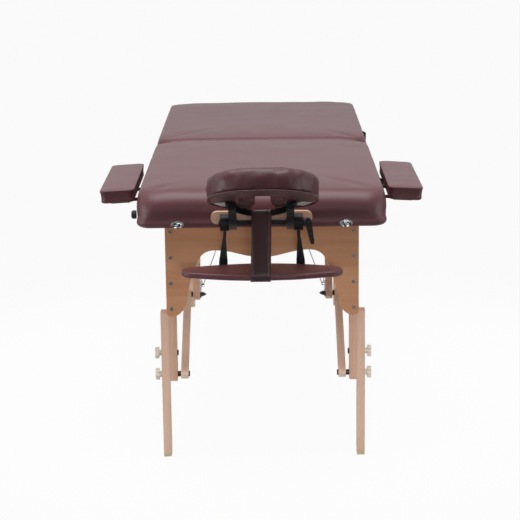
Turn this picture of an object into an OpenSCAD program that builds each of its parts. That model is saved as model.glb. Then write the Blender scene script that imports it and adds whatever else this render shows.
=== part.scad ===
// Portable two-section folding massage table.
// It carries a face cradle, a hanging arm shelf and two clip-on side arm pads.
// X runs across the table, Y from the head end to the foot end, Z up from the floor.
// Each half is drawn as the head half, and the foot half is its mirror image.

/* [Table] */
// Width over the cushions
table_w = 711; // [600:1:800]
// Length over both cushions
table_l = 1854; // [1780:1:2000]
// Height of the top surface above the floor
table_h = 800; // [760:1:860]
// Gap between the two cushions at the seam
section_gap = 3; // [2:0.5:6]

/* [Cushions] */
// Foam and vinyl above the deck board
foam_t = 50; // [40:1:70]
// Foam and vinyl wrapped round the outside of the frame
side_pad = 20.5; // [16:0.5:30]
// Vinyl and foam on the end that meets the other half
seam_pad = 8; // [4:0.5:12]
// Rounding of the upper edge
cushion_edge_r = 30; // [15:1:40]
// Rounding of the lower edge
cushion_low_r = 14; // [6:1:18]
// Rounding of the corners seen from above
cushion_corner_r = 50; // [44:1:60]
// Rise of the top from its edge to its middle
cushion_crown = 5; // [2:0.5:10]
// How far the vinyl draws the sides in below the foam
cushion_draw_in = 4; // [1:0.5:7]

/* [Frame] */
// Thickness of the deck board
deck_t = 5; // [3:0.5:9]
// Height of the rails under the deck
rail_h = 55; // [50:1:75]
// Thickness of the side rails
side_rail_t = 20; // [12:1:21]
// Thickness of the end rail and the centre rail
cross_rail_t = 18; // [14:1:22]
// Space between a stringer and the strut beside it
stringer_gap = 30; // [29:1:50]
// Thickness of a stringer
stringer_t = 22; // [16:1:30]

/* [Legs] */
// Space between an upper leg and the side rail
leg_gap = 45; // [43:1:50]
// Thickness of an upper leg
leg_t = 22; // [18:0.5:24]
// Depth of an upper leg along the table
leg_depth = 40; // [32:1:44]
// Front face of the legs from the end of the cushion
leg_front_y = 55; // [53:1:62]
// Leg pivot bolt behind the front face of the leg
pivot_back = 25; // [20:1:27]
// Leg pivot bolt below the deck
pivot_drop = 17; // [16.5:0.5:20]
// Upper leg below its pivot bolt
leg_len = 498; // [480:1:505]
// How far an extension overlaps the upper leg
leg_overlap = 204; // [195:1:230]
// Thickness of a leg extension
ext_t = 22.5; // [18:0.5:24]
// Depth of a leg extension along the table
ext_depth = 39; // [30:1:39]
// Height of the foot cap
foot_cap_h = 12; // [8:1:25]
// Spacing of the holes for the height setting
hole_pitch = 25.4; // [22:0.1:27]
// Holes above the rest setting
holes_up = 7; // [4:1:7]
// Holes below the rest setting
holes_down = 3; // [1:1:3]
// Lower clamp bolt above the end of the upper leg
bolt_above_end = 16; // [14:1:22]
// Spacing of the two clamp bolts
bolt_pitch = 64; // [50:1:76]
// Diameter of the clamp and pivot bolts
bolt_d = 8; // [6:0.5:9]

/* [Clamp knobs] */
// Diameter over the lobes
knob_d = 34; // [28:0.5:36]
// Thickness of the lobed disc
knob_t = 11; // [8:0.5:13]
// Length of the neck
knob_neck = 7; // [5:0.5:8]
// Number of lobes
knob_lobes = 6; // [5:1:8]

/* [End panel] */
// How far the panel reaches past the legs
panel_lip = 4; // [0:0.5:5]
// Height of the panel
panel_h = 270; // [240:1:300]
// Thickness of the panel
panel_t = 10; // [6:0.5:11]
// Diameter of the screw heads
screw_d = 10; // [7:0.5:12]
// Spacing of the panel screws
screw_pitch = 75; // [60:1:78]
// Topmost screw below the top of the panel
screw_first = 22; // [15:1:30]

/* [Leg stays] */
// Knee behind the middle of the leg
knee_reach = 274; // [266:1:276]
// Knee above the lower clamp bolt
knee_rise = 167; // [150:1:170]
// Width of the brace and the strut
stay_w = 28; // [22:1:29]
// Thickness of the brace and the strut
stay_t = 21; // [16:1:22]
// Diameter of the support wires
wire_d = 3; // [2:0.5:4]

/* [Face cradle] */
// Spacing of the two support posts
post_pitch = 203; // [190:1:210]
// Diameter of the posts
post_d = 12.7; // [10:0.1:16]
// Length of a post behind the crossbar
post_len = 110; // [90:1:130]
// Width of the wooden crossbar
crossbar_w = 282; // [260:1:320]
// Height of the crossbar
crossbar_h = 35; // [30:1:40]
// Thickness of the crossbar
crossbar_t = 18; // [14:1:22]
// Diameter of the clamp hubs
hub_d = 46; // [40:1:50]
// Width of a clamp hub
hub_w = 25; // [20:1:28]
// Tilt axis in front of the crossbar
hub_reach = 38; // [34:1:44]
// Tilt of the platform at rest, front edge up
cradle_tilt = 21.5; // [10:0.5:30]
// Outer radius of the platform ring
ring_r = 97; // [94:1:105]
// Wall of the platform ring
ring_wall = 12; // [8:0.5:16]
// Height of the platform ring from the pillow to its lowest point
ring_h = 21; // [19:1:24]
// Depth of the ring's band
ring_band = 13; // [11:1:14]
// Radius of the ring's dip
ring_dip_r = 320; // [300:5:420]

/* [Face pillow] */
// Width of the pillow
pillow_w = 294; // [280:1:320]
// Length of the pillow
pillow_l = 272; // [250:1:290]
// Thickness of the pillow
pillow_t = 68; // [50:1:80]
// Width of the padded roll round the face hole
pillow_roll = 86; // [78:1:96]

/* [Arm shelf] */
// Width of the shelf
shelf_w = 446; // [400:1:480]
// Depth of the shelf
shelf_depth = 148; // [110:1:150]
// Thickness of the shelf
shelf_t = 18; // [16:1:30]
// Top of the shelf below the table top
shelf_drop = 204; // [180:1:240]
// Width of the front strap
front_strap_w = 55; // [40:1:60]
// Width of the rear webbing straps
rear_strap_w = 24; // [18:1:24]

/* [Arm pads] */
// Width of a pad
pad_w = 98; // [80:1:120]
// Length of a pad
pad_l = 430; // [390:1:440]
// Thickness of a pad
pad_t = 40; // [30:1:50]
// Downward slope of a pad
pad_droop = 3; // [1:0.5:4]
// Diameter of the pad rods
rod_d = 10; // [8:0.5:12]

/* [Fittings] */
// Width of an end latch
latch_w = 36; // [30:1:44]
// Latch from the centre line
latch_x = 236; // [200:1:250]
// Length of a carry handle
handle_l = 136; // [110:1:160]
// Height of the handle webbing
handle_w = 25; // [18:1:30]
// How far the handle bows out
handle_bow = 20; // [16:1:30]
// Diameter of the side bumper
bumper_d = 24; // [18:1:32]
// How far the side bumper stands out
bumper_t = 14; // [8:1:18]

/* [Hidden] */
$fn = 48;

vinyl_colour = [0.29, 0.08, 0.11];
beech_colour = [0.80, 0.62, 0.46];
panel_colour = [0.76, 0.60, 0.44];
steel_colour = [0.72, 0.73, 0.75];
black_colour = [0.07, 0.07, 0.08];
cream_colour = [0.86, 0.80, 0.68];

// Clearances
soft_gap = 0.3;
run_gap = 0.1;
cut_over = 4;

// Levels and faces of one half
section_t = foam_t + deck_t + rail_h;
half_l = (table_l - section_gap) / 2;
seam_y = table_l / 2;
under_z = table_h - section_t;
deck_top = table_h - foam_t;
rail_top = deck_top - deck_t;
frame_x = table_w / 2 - side_pad;
frame_corner_r = cushion_corner_r - side_pad;
frame_y0 = side_pad;
frame_y1 = half_l - seam_pad;
end_face_y = frame_y0 + cross_rail_t;
rail_inner_x = frame_x - side_rail_t;
centre_face_y = frame_y1 - cross_rail_t;

// Leg, extension and panel
leg_outer_x = rail_inner_x - leg_gap;
leg_inner_x = leg_outer_x - leg_t;
leg_mid_y = leg_front_y + leg_depth / 2;
pivot_y = leg_front_y + pivot_back;
pivot_z = rail_top - pivot_drop;
leg_bottom = pivot_z - leg_len;
leg_top_r = leg_depth - pivot_back;
lower_bolt_z = leg_bottom + bolt_above_end;
upper_bolt_z = lower_bolt_z + bolt_pitch;
ext_in_x = leg_outer_x + soft_gap;
ext_out_x = ext_in_x + ext_t;
ext_top = leg_bottom + leg_overlap;
slot_w = bolt_d + 2 * soft_gap;
slot_hole_d = 1.33 * bolt_d;
slot_low = lower_bolt_z - holes_up * hole_pitch;
slot_high = upper_bolt_z + holes_down * hole_pitch;
bolt_head_h = bolt_d / 2;
bolt_head_d = 2 * bolt_d;
knob_in_x = ext_out_x + soft_gap;
knob_face_x = knob_in_x + knob_neck;
knob_out_x = knob_face_x + knob_t;
knob_wall = knob_t / 3;
bolt_tip_x = knob_out_x - knob_wall - soft_gap;
panel_w = 2 * (leg_outer_x + panel_lip);
panel_top = under_z + panel_t / 2;
panel_y0 = leg_front_y - panel_t;

// Brackets that carry the legs on the end rail
plate_t = 3;
bracket_top = rail_top - plate_t / 2;
bracket_low = pivot_z - leg_top_r - plate_t;
bracket_in_x = leg_inner_x - soft_gap;
bracket_out_x = leg_outer_x + soft_gap;
bracket_tip = pivot_y + leg_top_r;

// Stay: brace on the leg, strut on the frame, meeting at the knee
knee_y = leg_mid_y + knee_reach;
knee_z = lower_bolt_z + knee_rise;
brace_len = norm([knee_reach, knee_rise]);
spacer_t = 10;
brace_out_x = leg_inner_x - spacer_t;
brace_in_x = brace_out_x - stay_t;
knee_gap = 6;
strut_out_x = brace_in_x - knee_gap;
strut_in_x = strut_out_x - stay_t;
stringer_x = strut_in_x - stringer_gap;
// The brace pivot when the leg lies folded under the deck
stowed_y = pivot_y + (pivot_z - lower_bolt_z);
stowed_z = pivot_z + (leg_mid_y - pivot_y);
strut_pivot_z = stowed_z;
// The strut pivot from which the stay folds flat along itself
function stay_error(y) = norm([y - knee_y, strut_pivot_z - knee_z])
    - brace_len - norm([stowed_y - y, stowed_z - strut_pivot_z]);
function fold_flat(low, high, steps) = steps == 0 ? (low + high) / 2
    : stay_error((low + high) / 2) > 0 ? fold_flat(low, (low + high) / 2, steps - 1)
    : fold_flat((low + high) / 2, high, steps - 1);
strut_pivot_y = fold_flat(knee_y, stowed_y, 40);
// Underside of the stringers, clear of the panel when the legs are folded
stringer_low = pivot_z + leg_front_y - pivot_y + plate_t;

// Support wires
wire_x = strut_in_x - 10 * wire_d / 3;
wire_end_x = stringer_x / 3;
wire_front_x = bracket_in_x - 5 * plate_t;
wire_rear_z = under_z + rail_h / 5;
wire_front_z = bracket_low - plate_t;

// Face cradle, with v running forward and n up from the tilt axis, before the tilt
crossbar_back = -4;
post_drop = 20;
post_z = rail_top - post_drop;
post_x = post_pitch / 2;
crossbar_y0 = crossbar_back - crossbar_t;
hub_y = crossbar_y0 - hub_reach;
hub_z = post_z - crossbar_h / 7;
hub_in_x = post_x + hub_w / 2 - hub_w;
hub_out_x = post_x + hub_w / 2;
arm_t = 0.8 * hub_w;
arm_out_x = hub_in_x - soft_gap;
arm_in_x = arm_out_x - arm_t;
ring_top_n = 33;
ring_in_r = ring_r - ring_wall;
ring_back_v = 40;
ring_centre_v = ring_back_v + ring_in_r;
ring_end_v = ring_centre_v + 2 * ring_wall;
ring_dip_n = ring_top_n - ring_h + ring_band;
pillow_behind = 14;
pillow_back_v = ring_centre_v - ring_r - pillow_behind;
pillow_base_n = ring_top_n + soft_gap;

// Shelf and straps
shelf_top = table_h - shelf_drop;
shelf_back = -15;
shelf_front = shelf_back - shelf_depth;
strap_t = 2;

// Arm pads, before they droop about their inner lower edge
pad_gap = 4;
pad_in_x = table_w / 2 + pad_gap;
pad_y0 = 90;
pad_top_drop = 10;
pad_top = table_h - pad_top_drop;
pad_hinge_z = pad_top - pad_t;
cleat_h = 2.2 * rod_d;
cleat_l = 3 * rod_d;
rod_local_z = pad_hinge_z - 1.6 * rod_d;
rod_ys = [pad_y0 + 0.3 * pad_l, pad_y0 + 0.66 * pad_l];
rod_end_x = rail_inner_x + plate_t;
bush_wall = 3;

// Hinges between the halves
hinge_pin_r = 2.5;
knuckle_r = 4;
hinge_z = under_z - knuckle_r;
leaf_t = 2.5;
leaf_l = 36;
hinge_w = 60;
hinge_xs = [0, stringer_x + hinge_w];

// Signed power, which squares up an ellipse as the power falls
function sq(v, power) = sign(v) * pow(abs(v), power);

// Horseshoe pillow, closed at the front and open towards the table, as rings round its roll
pillow_shift = 5;
pillow_gap = 32;
pillow_a = (pillow_w - pillow_roll) / 2;
pillow_b = (pillow_l - pillow_roll) / 2;
pillow_mid_v = pillow_back_v + pillow_l / 2;
function roll_at(a) = [pillow_a * sq(cos(a), 0.82), pillow_mid_v + pillow_b * sq(sin(a), 0.82)];
function roll_ring(a, size, steps) =
    let (p = roll_at(a), q = roll_at(a + 1) - roll_at(a - 1), out = [q[1], -q[0]] / norm(q))
    [for (i = [0 : steps - 1]) let (b = 360 * i / steps,
        w = pillow_roll / 2 * size * sq(cos(b), b > 180 ? 0.3 : 0.55),
        up = pillow_t / 2 * (1 + size * sq(sin(b), b > 180 ? 0.25 : 0.6)))
        [p[0] + out[0] * w, -(p[1] + out[1] * w), up]];
roll_steps = 20;
roll_pieces = 36;
roll_reach = 90 - asin((pillow_gap / 2 + pillow_roll / 12) / pillow_a);
roll_from = -roll_reach;
roll_to = 180 + roll_reach;
pillow_rings = concat(
    [roll_ring(roll_from - 3, 0.5, roll_steps), roll_ring(roll_from - 2, 0.85, roll_steps)],
    [for (i = [0 : roll_pieces])
        roll_ring(roll_from + (roll_to - roll_from) * i / roll_pieces, 1, roll_steps)],
    [roll_ring(roll_to + 2, 0.85, roll_steps), roll_ring(roll_to + 3, 0.5, roll_steps)]);

// Middle of the whole table along Y, so that the frame's origin stands under it
latch_t = 2;
latch_face_y = cushion_draw_in - soft_gap;
catch_out = 3 * latch_t - latch_face_y;
pillow_front_y = hub_y + min([for (ring = pillow_rings, p = ring)
    p[1] * cos(cradle_tilt) + (pillow_base_n + p[2]) * sin(cradle_tilt)]);
frame_shift = -(table_l + catch_out + pillow_front_y) / 2;

// Places everything in the frame whose origin is on the floor under the middle
module row() {
    translate([0, frame_shift, 0]) children();
}

module at_foot(foot) {
    if (foot) translate([0, table_l, 0]) mirror([0, 1, 0]) children();
    else children();
}

module both_sides() {
    children();
    mirror([1, 0, 0]) children();
}

module on_side(left) {
    if (left) mirror([1, 0, 0]) children();
    else children();
}

// Outline in Y and Z, extruded from x0 to x1
module along_x(x0, x1) {
    translate([x0, 0, 0]) rotate([90, 0, 90]) linear_extrude(x1 - x0) children();
}

// Outline in X and Z, extruded from y0 to y1
module along_y(y0, y1) {
    translate([0, y1, 0]) rotate([90, 0, 0]) linear_extrude(y1 - y0) children();
}

module rod_x(x0, x1, y, z, r) {
    translate([x0, y, z]) rotate([0, 90, 0]) cylinder(h = x1 - x0, r = r);
}

module rod_y(y0, y1, x, z, r) {
    translate([x, y0, z]) rotate([-90, 0, 0]) cylinder(h = y1 - y0, r = r);
}

// Block between two corners
module block(low, high) {
    translate(low) cube(high - low);
}

// Round bar between two points
module wire(from, to, r) {
    way = to - from;
    reach = norm(way);
    translate(from)
        rotate([0, acos(way[2] / reach), atan2(way[1], way[0])])
            cylinder(h = reach, r = r, $fn = 16);
}

// Flat link with round ends, as an outline, its sides a hair inside the ends
module link(from, to, w) {
    way = to - from;
    side = 0.998 * w;
    translate(from) circle(d = w);
    translate(to) circle(d = w);
    translate(from) rotate(atan2(way[1], way[0])) translate([0, -side / 2])
        square([norm(way), side]);
}

// Rounded rectangle, counted anticlockwise, with steps points on each corner
function corner_points(cx, cy, r, from, steps) =
    [for (i = [0 : steps]) [cx + r * cos(from + 90 * i / steps), cy + r * sin(from + 90 * i / steps)]];
function rounded_ring(x0, y0, x1, y1, r, steps) = concat(
    corner_points(x1 - r, y1 - r, r, 0, steps), corner_points(x0 + r, y1 - r, r, 90, steps),
    corner_points(x0 + r, y0 + r, r, 180, steps), corner_points(x1 - r, y0 + r, r, 270, steps));

// Closed skin over a stack of rings, each with the same number of points
module skin(rings) {
    n = len(rings[0]);
    last = len(rings) - 1;
    points = [for (ring = rings) each ring];
    sides = [for (i = [0 : last - 1], j = [0 : n - 1]) each [
        [i * n + j, (i + 1) * n + j, (i + 1) * n + (j + 1) % n],
        [i * n + j, (i + 1) * n + (j + 1) % n, i * n + (j + 1) % n]]];
    caps = [[for (j = [0 : n - 1]) j], [for (j = [0 : n - 1]) last * n + n - 1 - j]];
    polyhedron(points, concat(sides, caps));
}

// Profile of an upholstered edge as pairs of inset and depth, from below upwards
crown_shares = [0.1, 0.25, 0.5, 0.8];
function edge_profile(t, r, low_r, draw, crown) = concat(
    [for (a = [90, 60, 30, 0]) [draw + low_r * (1 - cos(a)), t - low_r + low_r * sin(a)]],
    [[draw * 0.7, crown + r + 0.35 * (t - r - low_r)]],
    [for (a = [0 : 15 : 90]) [r * (1 - cos(a)), crown + r * (1 - sin(a))]]);

// Upholstered block with a crowned top, its top at z = 0
module padded_block(x0, y0, x1, y1, t, r, low_r, corner, draw, crown) {
    reach = min(x1 - x0, y1 - y0) / 2;
    edge = edge_profile(t, r, low_r, draw, crown);
    crowned = [for (s = crown_shares) [r + s * (reach - r), crown * (1 - s) * (1 - s)]];
    skin([for (p = concat(edge, crowned))
        [for (q = rounded_ring(x0 + p[0], y0 + p[0], x1 - p[0], y1 - p[0],
            max(corner - 0.7 * p[0], corner / 9), 6)) [q[0], q[1], -p[1]]]]);
}

// Sections: cushion, deck and frame

// Rounded plan of a section, from -x to x
module rounded_plan(x, y0, y1, r) {
    translate([-x, y0 + r]) square([2 * x, y1 - y0 - 2 * r]);
    translate([-x + r, y0]) square([2 * x - 2 * r, y1 - y0]);
    for (side = [-1, 1], y = [y0 + r, y1 - r]) translate([side * (x - r), y]) circle(r = r);
}

// Holes through the end of the head half for the cradle posts
module post_holes(r) {
    for (side = [-1, 1]) rod_y(-cut_over, end_face_y + cut_over, side * post_x, post_z, r);
}

// Puts children in the drooping frame of the right arm pad
module droop() {
    translate([pad_in_x, 0, pad_hinge_z]) rotate([0, pad_droop, 0])
        translate([-pad_in_x, 0, -pad_hinge_z]) children();
}

module pad_rod_holes(r) {
    both_sides() droop() for (y = rod_ys)
        rod_x(rail_inner_x - cut_over, table_w / 2 + cut_over, y, rod_local_z, r);
}

bush_post_r = post_d / 2 + run_gap + bush_wall;
bush_rod_r = rod_d / 2 + run_gap + bush_wall;

module cushion(foot) {
    color(vinyl_colour) difference() {
        translate([0, 0, table_h]) padded_block(-table_w / 2, 0, table_w / 2, half_l, section_t,
            cushion_edge_r, cushion_low_r, cushion_corner_r, cushion_draw_in, cushion_crown);
        translate([0, 0, under_z - cut_over])
            linear_extrude(deck_top + soft_gap - under_z + cut_over)
                rounded_plan(frame_x + soft_gap, frame_y0 - soft_gap, frame_y1 + soft_gap,
                    frame_corner_r + soft_gap);
        if (!foot) {
            post_holes(bush_post_r + soft_gap);
            pad_rod_holes(bush_rod_r + soft_gap);
        }
    }
}

module deck() {
    color(beech_colour) translate([0, 0, rail_top]) linear_extrude(deck_t)
        rounded_plan(frame_x, frame_y0, frame_y1, frame_corner_r);
}

module frame_rails(foot) {
    color(beech_colour) difference() {
        translate([0, 0, under_z]) linear_extrude(rail_h) difference() {
            rounded_plan(frame_x, frame_y0, frame_y1, frame_corner_r);
            translate([-rail_inner_x, end_face_y])
                square([2 * rail_inner_x, centre_face_y - end_face_y]);
        }
        if (!foot) {
            post_holes(bush_post_r);
            pad_rod_holes(bush_rod_r);
        }
    }
}

module stringers() {
    color(beech_colour) both_sides() difference() {
        block([stringer_x - stringer_t, end_face_y, stringer_low],
            [stringer_x, centre_face_y, rail_top]);
        rod_x(stringer_x - stringer_t - cut_over, stringer_x + cut_over,
            strut_pivot_y, strut_pivot_z, bolt_d / 2 + run_gap);
    }
}

// Steel U brackets with the leg pivot bolts, and the pivot bolts of the struts
module leg_brackets() {
    color(steel_colour) both_sides() {
        difference() {
            union() {
                block([bracket_in_x - plate_t, end_face_y, bracket_low],
                    [bracket_out_x + plate_t, end_face_y + plate_t, bracket_top]);
                for (x = [bracket_in_x - plate_t, bracket_out_x])
                    block([x, end_face_y, bracket_low], [x + plate_t, bracket_tip, bracket_top]);
            }
            rod_x(bracket_in_x - 2 * plate_t, bracket_out_x + 2 * plate_t, pivot_y, pivot_z,
                bolt_d / 2 + run_gap);
        }
        rod_x(bracket_in_x - plate_t - bolt_head_h, bracket_out_x + plate_t + bolt_head_h,
            pivot_y, pivot_z, bolt_d / 2);
        for (x = [bracket_in_x - plate_t - bolt_head_h, bracket_out_x + plate_t])
            rod_x(x, x + bolt_head_h, pivot_y, pivot_z, bolt_head_d / 2);
        rod_x(stringer_x - stringer_t, strut_out_x + soft_gap + bolt_head_h,
            strut_pivot_y, strut_pivot_z, bolt_d / 2);
        rod_x(stringer_x - stringer_t - bolt_head_h, stringer_x - stringer_t,
            strut_pivot_y, strut_pivot_z, bolt_head_d / 2);
        rod_x(stringer_x, strut_in_x - soft_gap, strut_pivot_y, strut_pivot_z, 0.9 * bolt_d);
        rod_x(strut_out_x + soft_gap, strut_out_x + soft_gap + bolt_head_h,
            strut_pivot_y, strut_pivot_z, bolt_head_d / 2);
        // Eye plate that holds the front end of the wire
        translate([wire_front_x, end_face_y, wire_front_z + bolt_d])
            rotate([-90, 0, 0]) cylinder(h = plate_t, r = bolt_d);
    }
}

// Webbing handle that bows out from the side of the section
module handle() {
    sit_x = table_w / 2 - 0.7 * cushion_draw_in + soft_gap;
    foot_l = handle_l / 8;
    mid_y = half_l / 2;
    low = under_z + cushion_low_r + handle_w / 3;
    band_t = 3;
    bow_r = (handle_l * handle_l / 4 + handle_bow * handle_bow) / (2 * handle_bow);
    color(black_colour) translate([0, 0, low]) linear_extrude(handle_w) union() {
        intersection() {
            translate([sit_x + handle_bow - bow_r, mid_y]) difference() {
                circle(r = bow_r, $fn = 192);
                circle(r = bow_r - band_t, $fn = 192);
            }
            translate([sit_x, mid_y - handle_l / 2]) square([handle_bow, handle_l]);
        }
        for (y = [mid_y - handle_l / 2 - foot_l / 2, mid_y + handle_l / 2 - foot_l / 2])
            translate([sit_x, y]) square([band_t, foot_l]);
    }
}

// Hinge leaves screwed under the centre rails, the head half with the pins
module hinge_leaves(foot) {
    knuckle_l = hinge_w / 3;
    color(steel_colour) for (x = [-hinge_xs[1], hinge_xs[0], hinge_xs[1]]) {
        pieces = foot ? [[-knuckle_l / 2 + run_gap, knuckle_l / 2 - run_gap]]
            : [[-hinge_w / 2, -knuckle_l / 2], [knuckle_l / 2, hinge_w / 2]];
        block([x - hinge_w / 2, seam_y - leaf_l, under_z - leaf_t],
            [x + hinge_w / 2, seam_y - knuckle_r - soft_gap, under_z]);
        for (p = pieces) difference() {
            union() {
                rod_x(x + p[0], x + p[1], seam_y, hinge_z, knuckle_r);
                block([x + p[0], seam_y - knuckle_r - 2 * soft_gap, under_z - leaf_t],
                    [x + p[1], seam_y, under_z - leaf_t / 2]);
            }
            if (foot) rod_x(x - hinge_w, x + hinge_w, seam_y, hinge_z, hinge_pin_r + run_gap);
        }
        if (!foot) rod_x(x - hinge_w / 2, x + hinge_w / 2, seam_y, hinge_z, hinge_pin_r);
    }
}

// Legs, panel and extensions

// Cubic curve through two ends with two handles
function cubic(a, b, c, d, steps) = [for (i = [0 : steps]) let (t = i / steps, u = 1 - t)
    u * u * u * a + 3 * u * u * t * b + 3 * u * t * t * c + t * t * t * d];

// Edge of the arch as shares of half the panel's width and of its height below the top
arch_shares = [
    [[0, 0.365], [0.17, 0.365], [0.31, 0.285], [0.474, 0.285]],
    [[0.474, 0.285], [0.56, 0.285], [0.61, 0.31], [0.65, 0.37]],
    [[0.65, 0.37], [0.71, 0.47], [0.755, 0.64], [0.775, 0.76]],
    [[0.775, 0.76], [0.79, 0.9], [0.85, 1], [0.94, 1]]
];
function arch_edge(steps) = [for (s = arch_shares) each
    [for (p = cubic(s[0], s[1], s[2], s[3], steps)) [p[0] * panel_w / 2, panel_top - p[1] * panel_h]]];

module end_panel_outline() {
    edge = arch_edge(6);
    corner = panel_t;
    low = panel_top - panel_h;
    mirrored = [for (i = [len(edge) - 1 : -1 : 0]) [-edge[i][0], edge[i][1]]];
    polygon(concat([[-panel_w / 2, panel_top], [-panel_w / 2, low + corner]],
        [[-panel_w / 2 + corner / 3, low + corner / 3]], mirrored, edge,
        [[panel_w / 2 - corner / 3, low + corner / 3]],
        [[panel_w / 2, low + corner], [panel_w / 2, panel_top]]));
}

module end_panel() {
    color(panel_colour) along_y(panel_y0, leg_front_y - soft_gap / 3) end_panel_outline();
}

module leg_outline() {
    difference() {
        union() {
            translate([leg_front_y, leg_bottom]) square([leg_depth, leg_len]);
            translate([leg_front_y, pivot_z]) square([pivot_back, leg_top_r]);
            translate([pivot_y, pivot_z]) circle(r = leg_top_r);
        }
        for (p = [[pivot_y, pivot_z], [leg_mid_y, lower_bolt_z], [leg_mid_y, upper_bolt_z]])
            translate(p) circle(d = bolt_d + 2 * run_gap);
    }
}

module legs() {
    color(beech_colour) both_sides() along_x(leg_inner_x, leg_outer_x) leg_outline();
}

// Clamp bolts, the spacers of the braces and the panel screws
module leg_fasteners() {
    screw_x = leg_inner_x + leg_t / 2;
    screw_rise = screw_d / 4;
    nut_x = brace_in_x - soft_gap - bolt_head_h;
    color(steel_colour) both_sides() {
        rod_x(leg_inner_x - bolt_head_h, bolt_tip_x, leg_mid_y, upper_bolt_z, bolt_d / 2);
        rod_x(leg_inner_x - bolt_head_h, leg_inner_x, leg_mid_y, upper_bolt_z, bolt_head_d / 2);
        rod_x(nut_x, bolt_tip_x, leg_mid_y, lower_bolt_z, bolt_d / 2);
        rod_x(nut_x, brace_in_x - soft_gap, leg_mid_y, lower_bolt_z, bolt_head_d / 2);
        difference() {
            rod_x(brace_out_x + soft_gap, leg_inner_x, leg_mid_y, lower_bolt_z, bolt_head_d / 2);
            rod_x(brace_out_x, leg_inner_x + cut_over, leg_mid_y, lower_bolt_z, bolt_d / 2 + run_gap);
        }
        for (i = [0 : 3])
            rod_y(panel_y0 - screw_rise, panel_y0, screw_x,
                panel_top - screw_first - i * screw_pitch, screw_d / 2);
    }
}

// Extension with its scalloped slot and the cap on its foot
module leg_extension(left, foot) {
    y0 = leg_mid_y - ext_depth / 2;
    cap_side = soft_gap;
    row() at_foot(foot) on_side(left) {
        color(beech_colour) difference() {
            block([ext_in_x, y0, foot_cap_h], [ext_out_x, y0 + ext_depth, ext_top]);
            block([ext_in_x - cut_over, leg_mid_y - slot_w / 2, slot_low],
                [ext_out_x + cut_over, leg_mid_y + slot_w / 2, slot_high]);
            for (z = [slot_low : hole_pitch : slot_high + hole_pitch / 4])
                rod_x(ext_in_x - cut_over, ext_out_x + cut_over, leg_mid_y, z, slot_hole_d / 2);
            rod_x(ext_in_x - cut_over, ext_out_x + cut_over, leg_mid_y, slot_high, slot_hole_d / 2);
        }
        color(cream_colour)
            block([ext_in_x + cap_side, y0 + cap_side, 0],
                [ext_out_x - cap_side, y0 + ext_depth - cap_side, foot_cap_h]);
    }
}

module clamp_knob(left, foot, z) {
    core_d = 0.72 * knob_d;
    lobe_d = 0.34 * knob_d;
    lobe_at = (knob_d - lobe_d) / 2;
    neck_d = 0.5 * knob_d;
    row() at_foot(foot) on_side(left) color(cream_colour) difference() {
        union() {
            rod_x(knob_in_x, knob_face_x, leg_mid_y, z, neck_d / 2);
            rod_x(knob_face_x, knob_out_x, leg_mid_y, z, core_d / 2);
            for (i = [0 : knob_lobes - 1]) {
                a = 360 * i / knob_lobes;
                rod_x(knob_face_x, knob_out_x,
                    leg_mid_y + lobe_at * cos(a), z + lobe_at * sin(a), lobe_d / 2);
            }
        }
        rod_x(knob_in_x - cut_over, knob_out_x - knob_wall, leg_mid_y, z, bolt_d / 2 + run_gap);
    }
}

// Stays and support wires

module braces() {
    from = [leg_mid_y, lower_bolt_z];
    to = [knee_y, knee_z];
    head_t = bolt_head_h;
    both_sides() {
        color(beech_colour) along_x(brace_in_x, brace_out_x) difference() {
            link(from, to, stay_w);
            translate(from) circle(d = bolt_d + 2 * run_gap);
        }
        color(black_colour) rod_x(brace_out_x - head_t, brace_out_x + head_t, knee_y, knee_z,
            bolt_head_d / 2);
    }
}

module struts() {
    from = [strut_pivot_y, strut_pivot_z];
    to = [knee_y, knee_z];
    color(beech_colour) both_sides() along_x(strut_in_x, strut_out_x) difference() {
        union() {
            link(from, to, stay_w);
            // Square lower end
            translate(to) rotate(atan2(to[1] - from[1], to[0] - from[0]))
                translate([0, -stay_w / 2]) square([stay_w / 2, stay_w]);
        }
        for (p = [from, to]) translate(p) circle(d = bolt_d + 2 * run_gap);
    }
}

// Bolts, spacers, eye plates and cap nuts at the knee
module knee_hardware() {
    eye_t = 2;
    nut_t = 0.9 * bolt_d;
    nut_x = strut_in_x - 2 * eye_t - nut_t;
    both_sides() {
        color(black_colour) {
            rod_x(nut_x, brace_in_x - soft_gap, knee_y, knee_z, bolt_d / 2);
            rod_x(nut_x, nut_x + nut_t, knee_y, knee_z, 0.8 * bolt_d);
            translate([nut_x, knee_y, knee_z]) rotate([0, -90, 0])
                cylinder(h = nut_t, r1 = 0.7 * bolt_d, r2 = 0.2 * bolt_d);
            difference() {
                rod_x(strut_out_x, brace_in_x - soft_gap, knee_y, knee_z, bolt_head_d / 2);
                rod_x(strut_out_x - cut_over, brace_in_x + cut_over, knee_y, knee_z, bolt_d / 2 + run_gap);
            }
        }
        color(steel_colour) along_x(strut_in_x - 2 * eye_t, strut_in_x) difference() {
            link([knee_y, knee_z], [knee_y, knee_z + stay_w], 0.8 * stay_w);
            translate([knee_y, knee_z]) circle(d = bolt_d + 2 * run_gap);
        }
    }
}

// Two support wires on each side, both clamped at the knee
module cables() {
    knee_point = [wire_x, knee_y, knee_z + stay_w];
    rear_point = [wire_end_x, centre_face_y - 0.27 * wire_d, wire_rear_z];
    front_point = [wire_front_x, end_face_y + plate_t + 0.37 * wire_d, wire_front_z + bolt_d];
    color(steel_colour) both_sides() {
        wire(knee_point, rear_point, wire_d / 2);
        wire(knee_point, front_point, wire_d / 2);
        rod_x(wire_x - wire_d, strut_in_x - 4 * soft_gap - wire_d, knee_y, knee_z + stay_w, 1.5 * wire_d);
    }
}

// Fittings on the ends and sides

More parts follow.
